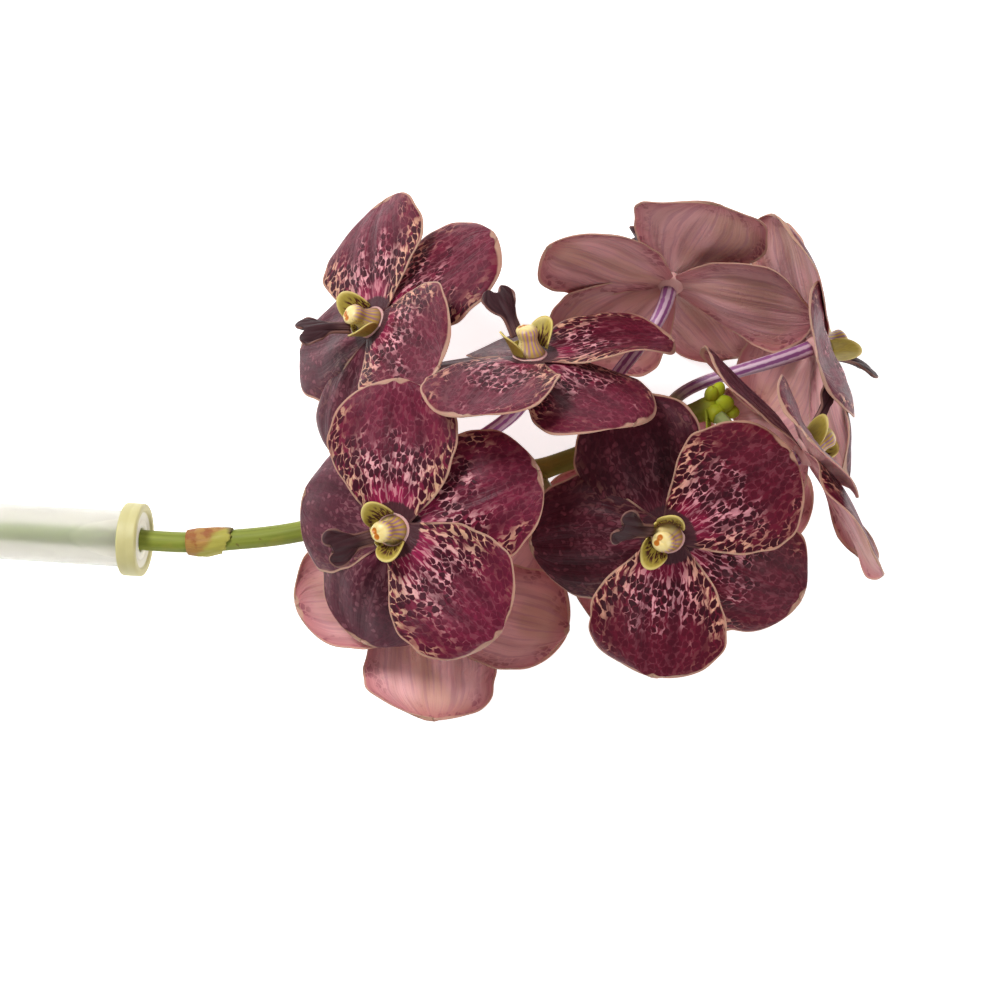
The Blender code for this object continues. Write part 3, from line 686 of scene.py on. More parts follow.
# Painted shade: the hollows of the folds are drawn darker, towards #340c18, as shade would lie in a crease.
painted_furrow_shade = add(tree, "MapRange", *ramp(0.1, -0.8, fold, 0.0, 0.4))[0]
face = add(tree, "Mix", MIX, {0: painted_furrow_shade, 6: face, 7: linear("#340c18")})[2]
print("nodes so far:", len(tree.nodes))

# %% [markdown]
# Round the throat lies a plain dark ring, which ends about 9 mm from the middle. The margin is a thin tan
# line, half a millimetre wide, and the slow noise makes it a little wider here and thinner there. It fades
# in between 9 and 15 mm from the middle, because the claw has none.

# %% The ring and the margin
ragged = add(tree, "Math", TIMES_PLUS, {0: fine, 1: 1.6, 2: radius})[0]
ring = add(tree, "MapRange", *ramp(9.9, 9.1, ragged))[0]
ring_tone = add(tree, "Mix", MIX, {0: fine, 6: linear("#3a1a24"), 7: linear("#553036")})[2]
face = add(tree, "Mix", MIX, {0: ring, 6: face, 7: ring_tone})[2]
edge = add(tree, "Math", TIMES_PLUS, {0: patchy, 1: -0.8, 2: margin})[0]
rim = add(tree, "MapRange", *ramp(0.35, -0.05, edge))[0]
grown = add(tree, "MapRange", *ramp(9.0, 15.0, radius, 0.1, 0.9))[0]
rim = add(tree, "Math", TIMES, {0: rim, 1: grown})[0]
face = add(tree, "Mix", MIX, {0: rim, 6: face, 7: linear("#b58d78")})[2]
print("the largest distance from the margin:", round(float(tags["zone"][..., 1].max()), 1), "mm")

# %% [markdown]
# The back has no net. It is pinkish, with tan patches and mauve veins, which are a noise on the share along
# the petal and the share across it, stretched lengthwise. Near the margin the front's red shows through,
# with a freckle here and there. The same line of tan runs round it.

# %% The back, with painted shade in its furrows
veins_at = add(tree, "CombineXYZ", {}, {0: share, 1: across})[0]
veins_at = add(tree, "VectorMath", TIMES, {0: veins_at, 1: (1.8, 17.0, 1.0)})[0]
veins = add(tree, "TexNoise", FLAT, {"Vector": veins_at, "Scale": 1.0, "Detail": 4.0})["Fac"]
vein = add(tree, "MapRange", *ramp(0.45, 0.65, veins, 0.0, 0.5))[0]
broad = add(tree, "TexNoise", FLAT, {"Vector": cells, "Scale": 0.11, "Detail": 2.0})["Fac"]
broad = add(tree, "Math", TIMES_PLUS, {0: off_middle, 1: -0.16, 2: broad})[0]
tan = add(tree, "MapRange", *ramp(0.38, 0.60, broad, 0.0, 0.55))[0]
behind = add(tree, "Mix", MIX, {0: tan, 6: linear("#e0acac"), 7: linear("#c69a80")})[2]
behind = add(tree, "Mix", MIX, {0: vein, 6: behind, 7: linear("#b98490")})[2]
# Painted shade: where the front's folds rise the back has hollows, and these are drawn darker, towards
# #9c6a5c.
painted_back_furrow_shade = add(tree, "MapRange", *ramp(0.0, 0.9, fold, 0.0, 0.3))[0]
behind = add(tree, "Mix", MIX, {0: painted_back_furrow_shade, 6: behind, 7: linear("#9c6a5c")})[2]
near = add(tree, "MapRange", *ramp(8.0, 0.3, margin, 0.0, 0.6))[0]
behind = add(tree, "Mix", MIX, {0: near, 6: behind, 7: linear("#b05c60")})[2]
some = add(tree, "MapRange", *ramp(0.46, 0.60, patchy))[0]
freckle = add(tree, "Math", TIMES, {0: blotch, 1: near})[0]
freckle = add(tree, "Math", TIMES, {0: freckle, 1: some})[0]
behind = add(tree, "Mix", MIX, {0: freckle, 6: behind, 7: linear("#7c3048")})[2]
behind = add(tree, "Mix", MIX, {0: rim, 6: behind, 7: linear("#c9a08c")})[2]
print("nodes so far:", len(tree.nodes))

# %% [markdown]
# The two sides are put together by the tag that is 1 on the front. The skin gets its fine relief, pillowed
# cells and long veins, as a bump of a quarter of a millimetre. Wax isn't smooth like glass: its roughness
# is about 0.45, and its reflection is weaker than a varnish's.

# %% The petal's finish
is_front = add(tree, "MapRange", *ramp(0.4, 0.6, front))[0]
pillow = add(tree, "Math", TIMES, {0: plum, 1: netting})[0]
height = add(tree, "Math", TIMES_PLUS, {0: veins, 1: 3.0, 2: pillow})[0]
look = {
    "Base Color": add(tree, "Mix", MIX, {0: is_front, 6: behind, 7: face})[2],
    "Roughness": add(tree, "MapRange", *ramp(0.3, 0.7, patchy, 0.40, 0.52))[0],
    "Normal": add(tree, "Bump", {}, {"Strength": 0.4, "Distance": 0.25 * MM, "Height": height})[0],
    "IOR": 1.42,
    "Specular IOR Level": 0.22,
    "Sheen Weight": 0.03,
    "Sheen Roughness": 0.45,
    "Sheen Tint": linear("#d8a8bc"),
    "Subsurface Weight": 0.15,
    "Subsurface Radius": (1.0, 0.2, 0.35),
    "Subsurface Scale": 1.2 * MM,
}
shader = add(tree, "BsdfPrincipled", {}, look)
add(tree, "OutputMaterial", {}, {"Surface": shader[0]})
print("nodes in the petals' material:", len(tree.nodes))

# %% [markdown]
# The five blades of a bloom grow from one small cone behind the face, so they are one piece with it. The
# blade is thinner at its margin than at its claw.

# %% Grow the tepals of all nine blooms
TEPAL_THICKNESS = 0.6
HUB = ((0, -HUB_DEPTH), (2.9, -HUB_DEPTH), (4.2, -2.2), (5.3, -0.6), (5.2, -0.1), (0, 0))


def tepals_of(number, bloom):
    """Five blades and the hub. The thickness falls from 0.6 mm to 55 % of it over the last 2.5 mm."""
    matrix = bloom_frame(bloom)
    parts = []
    for name in TEPALS:
        points, tags = tepal_of(name, bloom["bends"].get(name, (0, 0, 0)), number)
        margin = tags["zone"][..., 1]
        thickness = TEPAL_THICKNESS * (0.55 + 0.45 * np.clip(margin / 2.5, 0, 1))
        parts.append(blade_of(placed(points, matrix), thickness, tags))
    hub_points, hub_faces, _ = turned_of(HUB, 24, matrix)
    shape = hub_points.shape
    plain = {
        "cells": np.zeros(shape),
        "zone": np.broadcast_to((5.0, 9.0, 0.2), shape),
        "sides": np.zeros(shape),
        "tone": np.zeros(shape),
    }
    parts.append((hub_points, hub_faces, plain))
    return joined(parts)


add_to_blooms("petals", tepals_of, petal_skin, "tepals")

# %% [markdown]
# In the middle of the bloom stands the column, a short cream pillar that carries the pollen under a cap
# with two orange pits. It is a profile turned round its axis, then leant over the lip, with the two pits
# and the cleft between them pressed into its head. Its back is striped with yellow and mauve.

# %% The columns
COLUMN = ((0, 8.8), (1.2, 8.75), (2.2, 8.4), (2.95, 7.6), (3.1, 6.9), (2.9, 5.8), (2.65, 4.6), (2.9, 3.2))
COLUMN += ((3.4, 2.0), (4.0, 1.0), (4.2, 0.5), (3.9, 0.3), (0, 0.3))
PITS = ((-1.05, -1.2), (1.05, -1.2))


def column_of(_, bloom):
    """The turned profile, leant by -1.4 (h / 8.8) ** 1.6, less two round pits and a cleft in its head."""
    profile = smooth_path([(*point, 0) for point in COLUMN], 4)[:, :2]
    profile[:, 0] = np.maximum(profile[:, 0], 0)
    turn = np.linspace(0, 2 * np.pi, 49)
    radius, angle = np.meshgrid(profile[:, 0], turn, indexing="ij")
    height = np.broadcast_to(profile[:, 1:2], radius.shape)
    x = radius * np.cos(angle) * 1.05
    y = radius * np.sin(angle) * 1.08
    head = np.clip((height - 6.5) / 1.5, 0, 1)
    pit = sum(np.exp(-(((x - a) ** 2 + (y - b) ** 2) / 0.8)) for a, b in PITS) * head
    cleft = np.exp(-((x / 0.3) ** 2)) * head * np.clip(1 - y, 0, 1)
    lean = -1.4 * (height / 8.8) ** 1.6
    points = np.stack((x, y + lean, height - 0.7 * pit - 0.35 * cleft), axis=-1)
    tone = np.stack((height / 8.8, pit, angle), axis=-1)
    return sheet_of(placed(points, bloom_frame(bloom)), {"tone": tone})


print("points in a column:", len(column_of(1, BLOOMS[0])[0]))

# %% [markdown]
# The column's skin is as waxy as the petals', but cream and smoother, so it shines more. Its head is
# plain, its pits are deep orange, and its back is striped. The stripes are a sine of the angle round it,
# and the angle is in the tag.

# %% The columns' cream skin
cream_skin, tree = new_material("waxy_cream_column")
tone = add(tree, "Attribute", {"attribute_name": "tone"}, {})["Vector"]
height, pit, angle = add(tree, "SeparateXYZ", {}, {0: tone})
place = add(tree, "TexCoord", {}, {})["Object"]
mottle = add(tree, "TexNoise", {}, {"Vector": place, "Scale": 0.9 / MM, "Detail": 2.0})["Fac"]
cream = add(tree, "Mix", MIX, {0: mottle, 6: linear("#e2c879"), 7: linear("#f0e0a6")})[2]
around = add(tree, "Math", {"operation": "SINE"}, {0: angle})[0]
back = add(tree, "MapRange", *ramp(-0.2, 0.7, around))[0]
low = add(tree, "MapRange", *ramp(0.98, 0.86, height))[0]
back = add(tree, "Math", TIMES, {0: back, 1: low})[0]
stripes = add(tree, "Math", TIMES_PLUS, {0: angle, 1: 16.0, 2: mottle})[0]
stripes = add(tree, "Math", {"operation": "SINE"}, {0: stripes})[0]
stripes = add(tree, "MapRange", *ramp(-0.6, 0.7, stripes))[0]
striped = add(tree, "Mix", MIX, {0: stripes, 6: linear("#c9a54e"), 7: linear("#a5788c")})[2]
body = add(tree, "Mix", MIX, {0: back, 6: cream, 7: striped})[2]
foot = add(tree, "MapRange", *ramp(0.30, 0.05, height, 0.0, 0.8))[0]
body = add(tree, "Mix", MIX, {0: foot, 6: body, 7: linear("#8f6a35")})[2]
deep = add(tree, "MapRange", *ramp(0.25, 0.50, pit))[0]
body = add(tree, "Mix", MIX, {0: deep, 6: body, 7: linear("#c0701c")})[2]
look = {
    "Base Color": body,
    "Roughness": add(tree, "MapRange", *ramp(0.3, 0.7, mottle, 0.30, 0.42))[0],
    "Normal": add(tree, "Bump", {}, {"Strength": 0.2, "Distance": 0.1 * MM, "Height": mottle})[0],
    "IOR": 1.42,
    "Subsurface Weight": 0.2,
    "Subsurface Radius": (1.0, 0.8, 0.4),
    "Subsurface Scale": 0.8 * MM,
}
shader = add(tree, "BsdfPrincipled", {}, look)
add(tree, "OutputMaterial", {}, {"Surface": shader[0]})

add_to_blooms("column", column_of, cream_skin, "column")

# %% [markdown]
# The lip has three lobes. Two of them stand up beside the column like a pair of small ears: dull yellow,
# with a cream rim and dark red spots and streaks inside. Together they are one flared cup, low in front,
# where the tongue passes, and low behind the column.

# %% The side lobes
LOBES_REACH, LOBES_NOTCH = 120, 30


def lobes_of(_, bloom):
    """The height h rises with a power of a sine between the notch and the reach. The radius is
    5.1 + 0.42 h, with a flare of 0.8 mm at the lobes' rim and a small ripple."""
    along, across = grid(17, 97)
    angle = (2 * across - 1) * LOBES_REACH
    past_notch = np.clip((np.abs(angle) - LOBES_NOTCH) / (LOBES_REACH - LOBES_NOTCH), 0, 1)
    lobe = np.sin(np.pi * past_notch) ** 0.8
    height = (1.8 + 6.2 * lobe) * along
    radius = 5.1 + 0.42 * height + 0.8 * lobe * along**3 - 0.25 * np.cos(angle / 9) * along
    turn = np.radians(angle)
    points = np.stack((radius * np.sin(turn), -radius * np.cos(turn), 0.9 + height), axis=-1)
    tone = np.stack((along, lobe, across * 2 - 1), axis=-1)
    thickness = 0.8 - 0.35 * along
    tags = {"tone": tone, "sides": np.zeros_like(tone)}
    return blade_of(placed(points, bloom_frame(bloom)), thickness, tags)


print("points in a pair of lobes:", len(lobes_of(1, BLOOMS[0])[0]))

# %% [markdown]
# The lobes have the same waxy skin, in a dull yellow. Their streaks are a noise that is stretched from the
# root to the rim. The tag says which side is the inner one, so the outside gets a quarter of the red.

# %% The side lobes' yellow skin
lobe_skin, tree = new_material("waxy_yellow_lobes")
tone = add(tree, "Attribute", {"attribute_name": "tone"}, {})["Vector"]
sides = add(tree, "Attribute", {"attribute_name": "sides"}, {})["Vector"]
along = add(tree, "SeparateXYZ", {}, {0: tone})[0]
front = add(tree, "SeparateXYZ", {}, {0: sides})[0]
at = add(tree, "VectorMath", TIMES, {0: tone, 1: (2.5, 0.0, 24.0)})[0]
streaky = add(tree, "TexNoise", {}, {"Vector": at, "Scale": 1.0, "Detail": 2.0})["Fac"]
yellow = add(tree, "Mix", MIX, {0: streaky, 6: linear("#94802c"), 7: linear("#c6b256")})[2]
streak = add(tree, "MapRange", *ramp(0.44, 0.54, streaky))[0]
low = add(tree, "MapRange", *ramp(0.86, 0.55, along))[0]
streak = add(tree, "Math", TIMES, {0: streak, 1: low})[0]
inside = add(tree, "MapRange", *ramp(0.4, 0.6, front, 0.25, 1.0))[0]
streak = add(tree, "Math", TIMES, {0: streak, 1: inside})[0]
colour = add(tree, "Mix", MIX, {0: streak, 6: yellow, 7: linear("#461019")})[2]
rim = add(tree, "MapRange", *ramp(0.84, 0.97, along))[0]
colour = add(tree, "Mix", MIX, {0: rim, 6: colour, 7: linear("#d3bf6e")})[2]
look = {
    "Base Color": colour,
    "Roughness": add(tree, "MapRange", *ramp(0.3, 0.7, streaky, 0.32, 0.45))[0],
    "Normal": add(tree, "Bump", {}, {"Strength": 0.25, "Distance": 0.1 * MM, "Height": streaky})[0],
    "IOR": 1.42,
    "Subsurface Weight": 0.15,
    "Subsurface Radius": (1.0, 0.8, 0.3),
    "Subsurface Scale": 0.6 * MM,
}
shader = add(tree, "BsdfPrincipled", {}, look)
add(tree, "OutputMaterial", {}, {"Surface": shader[0]})

add_to_blooms("side_lobes", lobes_of, lobe_skin, "side_lobes")

# %% [markdown]
# The third lobe is the tongue. It is fleshy, and keels run along it. It is narrow as far as its middle and
# then spreads like the arms of an anchor, with a notch at the tip and a crinkled edge. It is an arc like a
# tepal, only thicker: it starts steeply, at 62 degrees, and bends back by 22 degrees on its way.

# %% The tongues
LIP_ROOT = (5.5, 4.1)
LIP_LENGTH, LIP_LIFT, LIP_CURL = 17, 62, -22
LIP_NARROW, LIP_WIDE = 2.4, 6.0
LIP_WIDENS, LIP_WIDEST = 0.3, 0.78


def lip_half(share):
    """Half the width: 2.4 mm, and past 0.3 it grows with a squared sine to 6 mm at 0.78."""
    widening = np.clip((share - LIP_WIDENS) / (LIP_WIDEST - LIP_WIDENS), 0, 1)
    past = np.clip((share - LIP_WIDEST) / (1 - LIP_WIDEST), 0, 1)
    grown = (LIP_WIDE - LIP_NARROW) * np.sin(widening * np.pi / 2) ** 2
    return (LIP_NARROW + grown) * np.sqrt(1 - past**2.2)


def lip_of(number, bloom):
    """The arc, with keels cos(2.2 side) near its midline, and arms that rise with the square of the
    distance from it and are crinkled by two sines."""
    phase = 1.3 * number
    along, across = grid(41, 33)
    across = np.sin((across - 0.5) * np.pi)
    share = np.sin(along * 0.995 * np.pi / 2)
    side = across * lip_half(np.minimum(share, 0.998))
    notch = 1 - 0.20 * np.exp(-((side / 1.5) ** 2)) * share**8
    out, up, slope = arc(LIP_LENGTH, LIP_LIFT, LIP_CURL, share * notch)
    keels = 0.45 * np.cos(side * 2.2) * np.exp(-((side / 3.2) ** 2)) * (1 - share**3)
    arms = np.clip((np.abs(side) - 2.5) / 3.5, 0, 1)
    crinkle = 0.55 * np.sin(7 * across + 9 * share + phase) + 0.3 * np.sin(19 * across - 16 * share)
    rise = -0.06 * side**2 + keels + 1.5 * arms**2 + crinkle * arms
    y = -(LIP_ROOT[0] + out - rise * np.sin(slope))
    points = np.stack((-side, y, LIP_ROOT[1] + up + rise * np.cos(slope)), axis=-1)
    thickness = 0.5 + 1.7 * (1 - np.abs(across) ** 2) * (1 - 0.7 * share**2)
    to_side = lip_half(np.minimum(share, 0.998)) * (1 - np.abs(across))
    to_edge = np.minimum(to_side, LIP_LENGTH * (0.996 - share))
    tone = np.stack((share, across, to_edge), axis=-1)
    return blade_of(placed(points, bloom_frame(bloom)), thickness, {"tone": tone})


print("points in a tongue:", len(lip_of(1, BLOOMS[0])[0]))

# %% [markdown]
# The tongue's flesh is a purple that is nearly black. It has a fine soft grain instead of smooth wax, so
# it looks matt beside the petals. It is dull rose at the root, between dark veins, and paler at its edge.
# The tag holds the millimetres from the edge.

# %% The tongues' purple flesh
lip_skin, tree = new_material("fleshy_purple_lip")
tone = add(tree, "Attribute", {"attribute_name": "tone"}, {})["Vector"]
share, across, to_edge = add(tree, "SeparateXYZ", {}, {0: tone})
at = add(tree, "CombineXYZ", {}, {0: share, 1: across})[0]
at = add(tree, "VectorMath", TIMES, {0: at, 1: (2.5, 10.0, 0.0)})[0]
veins = add(tree, "TexNoise", {}, {"Vector": at, "Scale": 1.0, "Detail": 3.0})["Fac"]
purple = add(tree, "Mix", MIX, {0: veins, 6: linear("#1c0b10"), 7: linear("#4a262c")})[2]
base = add(tree, "MapRange", *ramp(0.40, 0.05, share, 0.0, 0.7))[0]
vein = add(tree, "MapRange", *ramp(0.60, 0.45, veins, 0.2, 1.0))[0]
base = add(tree, "Math", TIMES, {0: base, 1: vein})[0]
colour = add(tree, "Mix", MIX, {0: base, 6: purple, 7: linear("#7d5a5c")})[2]
rim = add(tree, "MapRange", *ramp(0.55, 0.15, to_edge, 0.0, 0.75))[0]
colour = add(tree, "Mix", MIX, {0: rim, 6: colour, 7: linear("#8b6258")})[2]
look = {
    "Base Color": colour,
    "Roughness": add(tree, "MapRange", *ramp(0.3, 0.7, veins, 0.42, 0.60))[0],
    "Normal": add(tree, "Bump", {}, {"Strength": 0.5, "Distance": 0.3 * MM, "Height": veins})[0],
    "IOR": 1.42,
    "Specular IOR Level": 0.3,
}
shader = add(tree, "BsdfPrincipled", {}, look)
add(tree, "OutputMaterial", {}, {"Surface": shader[0]})

add_to_blooms("tongue", lip_of, lip_skin, "lip")

# %% [markdown]
# The stem is drawn as a smooth path through a few points. A bloom's stalk leaves it at a knob and bends up
# to the back of the bloom, so it is a Bezier curve with a short straight stretch at each end.

# %% The stem's path and the stalks' paths
STEM_RADIUS = 3.2
STEM_POINTS = (
    (-104, -13.0, 24.7),
    (-96, -13.2, 26.5),
    (-84, -12.5, 29.0),
    (-63, -10.0, 33.0),
    (-31, -2.5, 39.0),
    (0, 5.5, 43.0),
    (23, 13.0, 45.5),
    (46, 21.5, 47.0),
    (66, 29.0, 48.0),
)
STEM_IN_TUBE = 44.0
KNOB_LENGTH = 2.3
STRAIGHT = 1.5
LEAVES, ARRIVES = 0.33, 0.43
GAP = 0.3

foot = mouth - tube_axis * STEM_IN_TUBE
stem_path = smooth_path([mouth, *(np.array(STEM_POINTS) + shift)], 12)
whole_stem = np.vstack((np.linspace(foot, mouth, 24)[:-1], stem_path))


def on_stem(x):
    """The stem's middle and its direction at an X, in mm."""
    middle = np.array([np.interp(x, stem_path[:, 0], stem_path[:, i]) for i in range(3)])
    nearest = int(np.clip(np.argmin(np.abs(stem_path[:, 0] - x)), 1, len(stem_path) - 2))
    return middle, unit(stem_path[nearest + 1] - stem_path[nearest - 1])


def stalk_start(bloom):
    """Where a stalk leaves: the stem's middle, its direction, and the way out of the stem."""
    middle, direction = on_stem(bloom["stem_x"] + shift[0])
    back = np.array(bloom["centre"]) + shift - unit(bloom["looks"]) * HUB_DEPTH
    away = back - middle
    away = unit(away - (away @ direction) * direction)
    return middle, direction, unit(away + 0.35 * direction)


def stalk_path(bloom):
    """From the knob to the back of the bloom: 1.5 mm straight, a Bezier curve, and 1.5 mm straight. The
    curve's two inner points lie straight on, by 0.33 and 0.43 of the distance that it spans."""
    middle, _, way_out = stalk_start(bloom)
    looks = unit(bloom["looks"])
    low_end = middle + way_out * (STEM_RADIUS + KNOB_LENGTH + GAP)
    top = np.array(bloom["centre"]) + shift - looks * (HUB_DEPTH + GAP)
    start = low_end + way_out * STRAIGHT
    end = top - looks * STRAIGHT
    reach = np.linalg.norm(end - start)
    bent = bezier(start, start + way_out * reach * LEAVES, end - looks * reach * ARRIVES, end, 44)
    return np.vstack((low_end, bent, top))


print("the stem is", round(float(np.linalg.norm(np.diff(whole_stem, axis=0), axis=1).sum())), "mm long")

# %% [markdown]
# A stalk is a little ribbed, because it is the ovary too: six ribs wind slowly round it. It is a rod along
# its path, whose radius depends on the share along and on the angle round.

# %% The stalks
def stalk_radius(share, angle):
    """Six shallow ribs with a slow twist, on a rod that widens a little towards the bloom."""
    ribs = 1 + 0.05 * np.cos(6 * (angle + 0.6 * share))
    return (1.95 + 0.4 * share**2 + 0.25 * np.exp(-((share / 0.06) ** 2))) * ribs


def stalk_of(_, bloom):
    """The rod along the stalk's path."""
    return rod_of(stalk_path(bloom), stalk_radius, 36)


print("points in a stalk:", len(stalk_of(1, BLOOMS[0])[0]))

# %% [markdown]
# The stalk's skin is smooth and waxy, so it has a soft gloss. It is green where it leaves the stem and
# lilac higher up, with stripes along it. The rod's tag holds the angle's cosine and sine, and the stripes
# are worked out from them: a cosine of six times the angle, moved by a noise.

# %% The stalks' lilac skin
stalk_skin, tree = new_material("lilac_stalk")
rod = add(tree, "Attribute", {"attribute_name": "rod"}, {})["Vector"]
along, cosine, sine = add(tree, "SeparateXYZ", {}, {0: rod})
angle = add(tree, "Math", {"operation": "ARCTAN2"}, {0: sine, 1: cosine})[0]
turns = add(tree, "Math", TIMES_PLUS, {0: along, 1: 0.015, 2: angle})[0]
stripe = add(tree, "Math", TIMES, {0: turns, 1: 6.0})[0]
stripe = add(tree, "Math", {"operation": "COSINE"}, {0: stripe})[0]
drift = add(tree, "TexNoise", {}, {"Vector": rod, "Scale": 0.5, "Detail": 3.0})["Fac"]
stripe = add(tree, "Math", TIMES_PLUS, {0: drift, 1: 2.2, 2: stripe})[0]
stripe = add(tree, "MapRange", *ramp(0.6, 1.6, stripe))[0]
lilac = add(tree, "Mix", MIX, {0: stripe, 6: linear("#8f5487"), 7: linear("#cbacbd")})[2]
green = add(tree, "MapRange", *ramp(13.0, 2.0, along))[0]
colour = add(tree, "Mix", MIX, {0: green, 6: lilac, 7: linear("#8d9a5e")})[2]
look = {
    "Base Color": colour,
    "Roughness": add(tree, "MapRange", *ramp(0.3, 0.7, drift, 0.30, 0.42))[0],
    "Normal": add(tree, "Bump", {}, {"Strength": 0.3, "Distance": 0.15 * MM, "Height": drift})[0],
    "IOR": 1.42,
    "Subsurface Weight": 0.15,
    "Subsurface Radius": (1.0, 0.6, 0.8),
    "Subsurface Scale": 1.0 * MM,
}
shader = add(tree, "BsdfPrincipled", {}, look)
add(tree, "OutputMaterial", {}, {"Surface": shader[0]})

add_to_blooms("stalk", stalk_of, stalk_skin, "pedicel")

# %% [markdown]
# A knob is a short rod from the stem's middle out to the stalk, with a small pointed bract below it. A
# bract is a thin blade that narrows and bends away from the stem. A few green buds end the stem. Each is a
# pointed egg: a rod whose radius follows a sine.


# %% Knobs, bracts and buds
def knob_of(middle, way_out):
    """A rod of 2.6 mm with a bulge of 0.5 mm round its middle, and a rounded end."""
    share = np.linspace(0, 1, 12)[:, None]
    reach = STEM_RADIUS + KNOB_LENGTH

    def radius(share, _):
        """The rod's radius in mm at each share of the way out."""
        bulge = 0.5 * np.exp(-(((share - 0.55) / 0.25) ** 2))
        return 2.6 + bulge - 0.5 * np.clip((share - 0.93) / 0.07, 0, 1)

    return rod_of(middle + way_out * reach * share, radius)


def bract_of(middle, direction, way_out):
    """Length 7 u, half-width 2.75 (1 - 0.85 u ** 1.5), and bent away by 2 u ** 2."""
    along, across = grid(14, 9)
    across = 2 * across - 1
    side = unit(np.cross(direction, way_out))
    back = unit(np.cross(way_out, side))
    root = middle + way_out * (STEM_RADIUS - 1.2) - back * 2.9
    half = 2.75 * (1 - 0.85 * along**1.5) * across
    bend = 2.0 * along**2 - 0.12 * half**2
    rise = unit(way_out - 0.35 * back)
    points = root + along[..., None] * 7.0 * rise + half[..., None] * side - bend[..., None] * back
    tag = np.stack((along * 7, across, 0 * along), axis=-1)
    return blade_of(points, 0.8 - 0.4 * along, {"rod": tag})


def bud_of(middle, radius, way):
    """A pointed egg: radius sin(a) (1 + 0.12 cos(a)) round its own axis, with three seams."""
    way = unit(way)
    share = np.linspace(0, np.pi, 20)
    path = middle + np.outer(-np.cos(share) * radius * 1.25, way)

    def around(_, angle):
        """The egg's radius in mm at each place, with the seams as a cosine of three times the angle."""
        egg = np.sin(share) * (1 + 0.12 * np.cos(share))
        return radius * np.maximum(egg, 0.01)[:, None] * (1 + 0.05 * np.cos(3 * angle))

    return rod_of(path, around)


print("points in a bud:", len(bud_of(np.zeros(3), 2.2, (1, 0, 0))[0]))

# %% [markdown]
# The stem is a round green rod that swells a little under each knob. All of this grew as one, so it is
# joined to one piece: the stem, the nine knobs with their bracts, and the buds round its tip.

# %% The stem and all that grows from it
BUDS = (
    ((2.0, 0.5, 0.5), 2.9),
    ((0.5, 4.6, 1.2), 2.2),
    ((-1.5, 3.4, 2.6), 2.2),
    ((4.6, -1.8, -1.4), 2.3),
)


def stem_radius(share, angle):
    """3.2 mm, with slight long ridges, and a swelling of 0.5 mm at each knob."""
    lengths = np.concatenate(([0], np.cumsum(np.linalg.norm(np.diff(whole_stem, axis=0), axis=1))))
    places = np.interp([bloom["stem_x"] + shift[0] for bloom in BLOOMS], whole_stem[:, 0], lengths)
    swell = sum(np.exp(-(((share * lengths[-1] - place) / 3.5) ** 2)) for place in places)
    return STEM_RADIUS + 0.5 * swell + 0.05 * np.cos(9 * angle + 4 * share)


grown = [rod_of(whole_stem, stem_radius, 40)]
for bloom in BLOOMS:
    middle, direction, way_out = stalk_start(bloom)
    grown.append(knob_of(middle, way_out))
    grown.append(bract_of(middle, direction, way_out))
for place, radius in BUDS:
    middle = stem_path[-1] + np.array(place)
    grown.append(bud_of(middle, radius, np.array(place) + (2.5, 0, 0)))
print("parts grown together in the stem:", len(grown))

# %% [markdown]
# Fresh green stems look waxy and even, with paler streaks along them and a few tiny brown marks. The same
# tag as on the stalks, millimetres along and the angle round, keeps the streaks in line with the stem.

# %% The stem's green
green_skin, tree = new_material("fresh_green_stem")
rod = add(tree, "Attribute", {"attribute_name": "rod"}, {})["Vector"]
at = add(tree, "VectorMath", TIMES, {0: rod, 1: (0.06, 3.2, 3.2)})[0]
streaks = add(tree, "TexNoise", {}, {"Vector": at, "Scale": 1.0, "Detail": 4.0})["Fac"]
place = add(tree, "TexCoord", {}, {})["Object"]
patches = add(tree, "TexNoise", {}, {"Vector": place, "Scale": 0.11 / MM, "Detail": 2.0})["Fac"]
green = add(tree, "Mix", MIX, {0: streaks, 6: linear("#667020"), 7: linear("#98a046")})[2]
warm = add(tree, "MapRange", *ramp(0.50, 0.68, patches, 0.0, 0.5))[0]
green = add(tree, "Mix", MIX, {0: warm, 6: green, 7: linear("#a09644")})[2]
print("nodes so far:", len(tree.nodes))

# %% [markdown]
# The growing tip with its buds is younger, so it is more yellow: a ramp on x covers its last 6 mm. Another
# ramp paints light on the foot in the tube: it is made a paler green, to lift it out of the shade of the
# tube and the water.

# %% Its young tip, and painted light on its foot
tip_from, tip_to = float(stem_path[-1, 0] - 6) * MM, float(stem_path[-1, 0] - 1) * MM
along = add(tree, "SeparateXYZ", {}, {0: place})[0]
young = add(tree, "MapRange", *ramp(tip_from, tip_to, along, 0.0, 0.85))[0]
green = add(tree, "Mix", MIX, {0: young, 6: green, 7: linear("#b2c024")})[2]
foot_light_from, foot_light_full = float(mouth[0]) * MM, float(mouth[0] - 3) * MM
# Painted light: the foot inside the tube is lifted to a pale green, against the shade of the tube and the
# water.
painted_foot_light = add(tree, "MapRange", *ramp(foot_light_from, foot_light_full, along, 0.0, 0.85))[0]
green = add(tree, "Mix", MIX, {0: painted_foot_light, 6: green, 7: linear("#a0bc6a")})[2]
print("yellow from x =", round(tip_from / MM, 1), "mm on, pale below x =", round(foot_light_from / MM, 1), "mm")

# %% [markdown]
# The brown marks are the peaks of a fine noise. The skin's wax is too thin for a sharp highlight, so its
# roughness is 0.5 to 0.6. The streaks also give its bump.

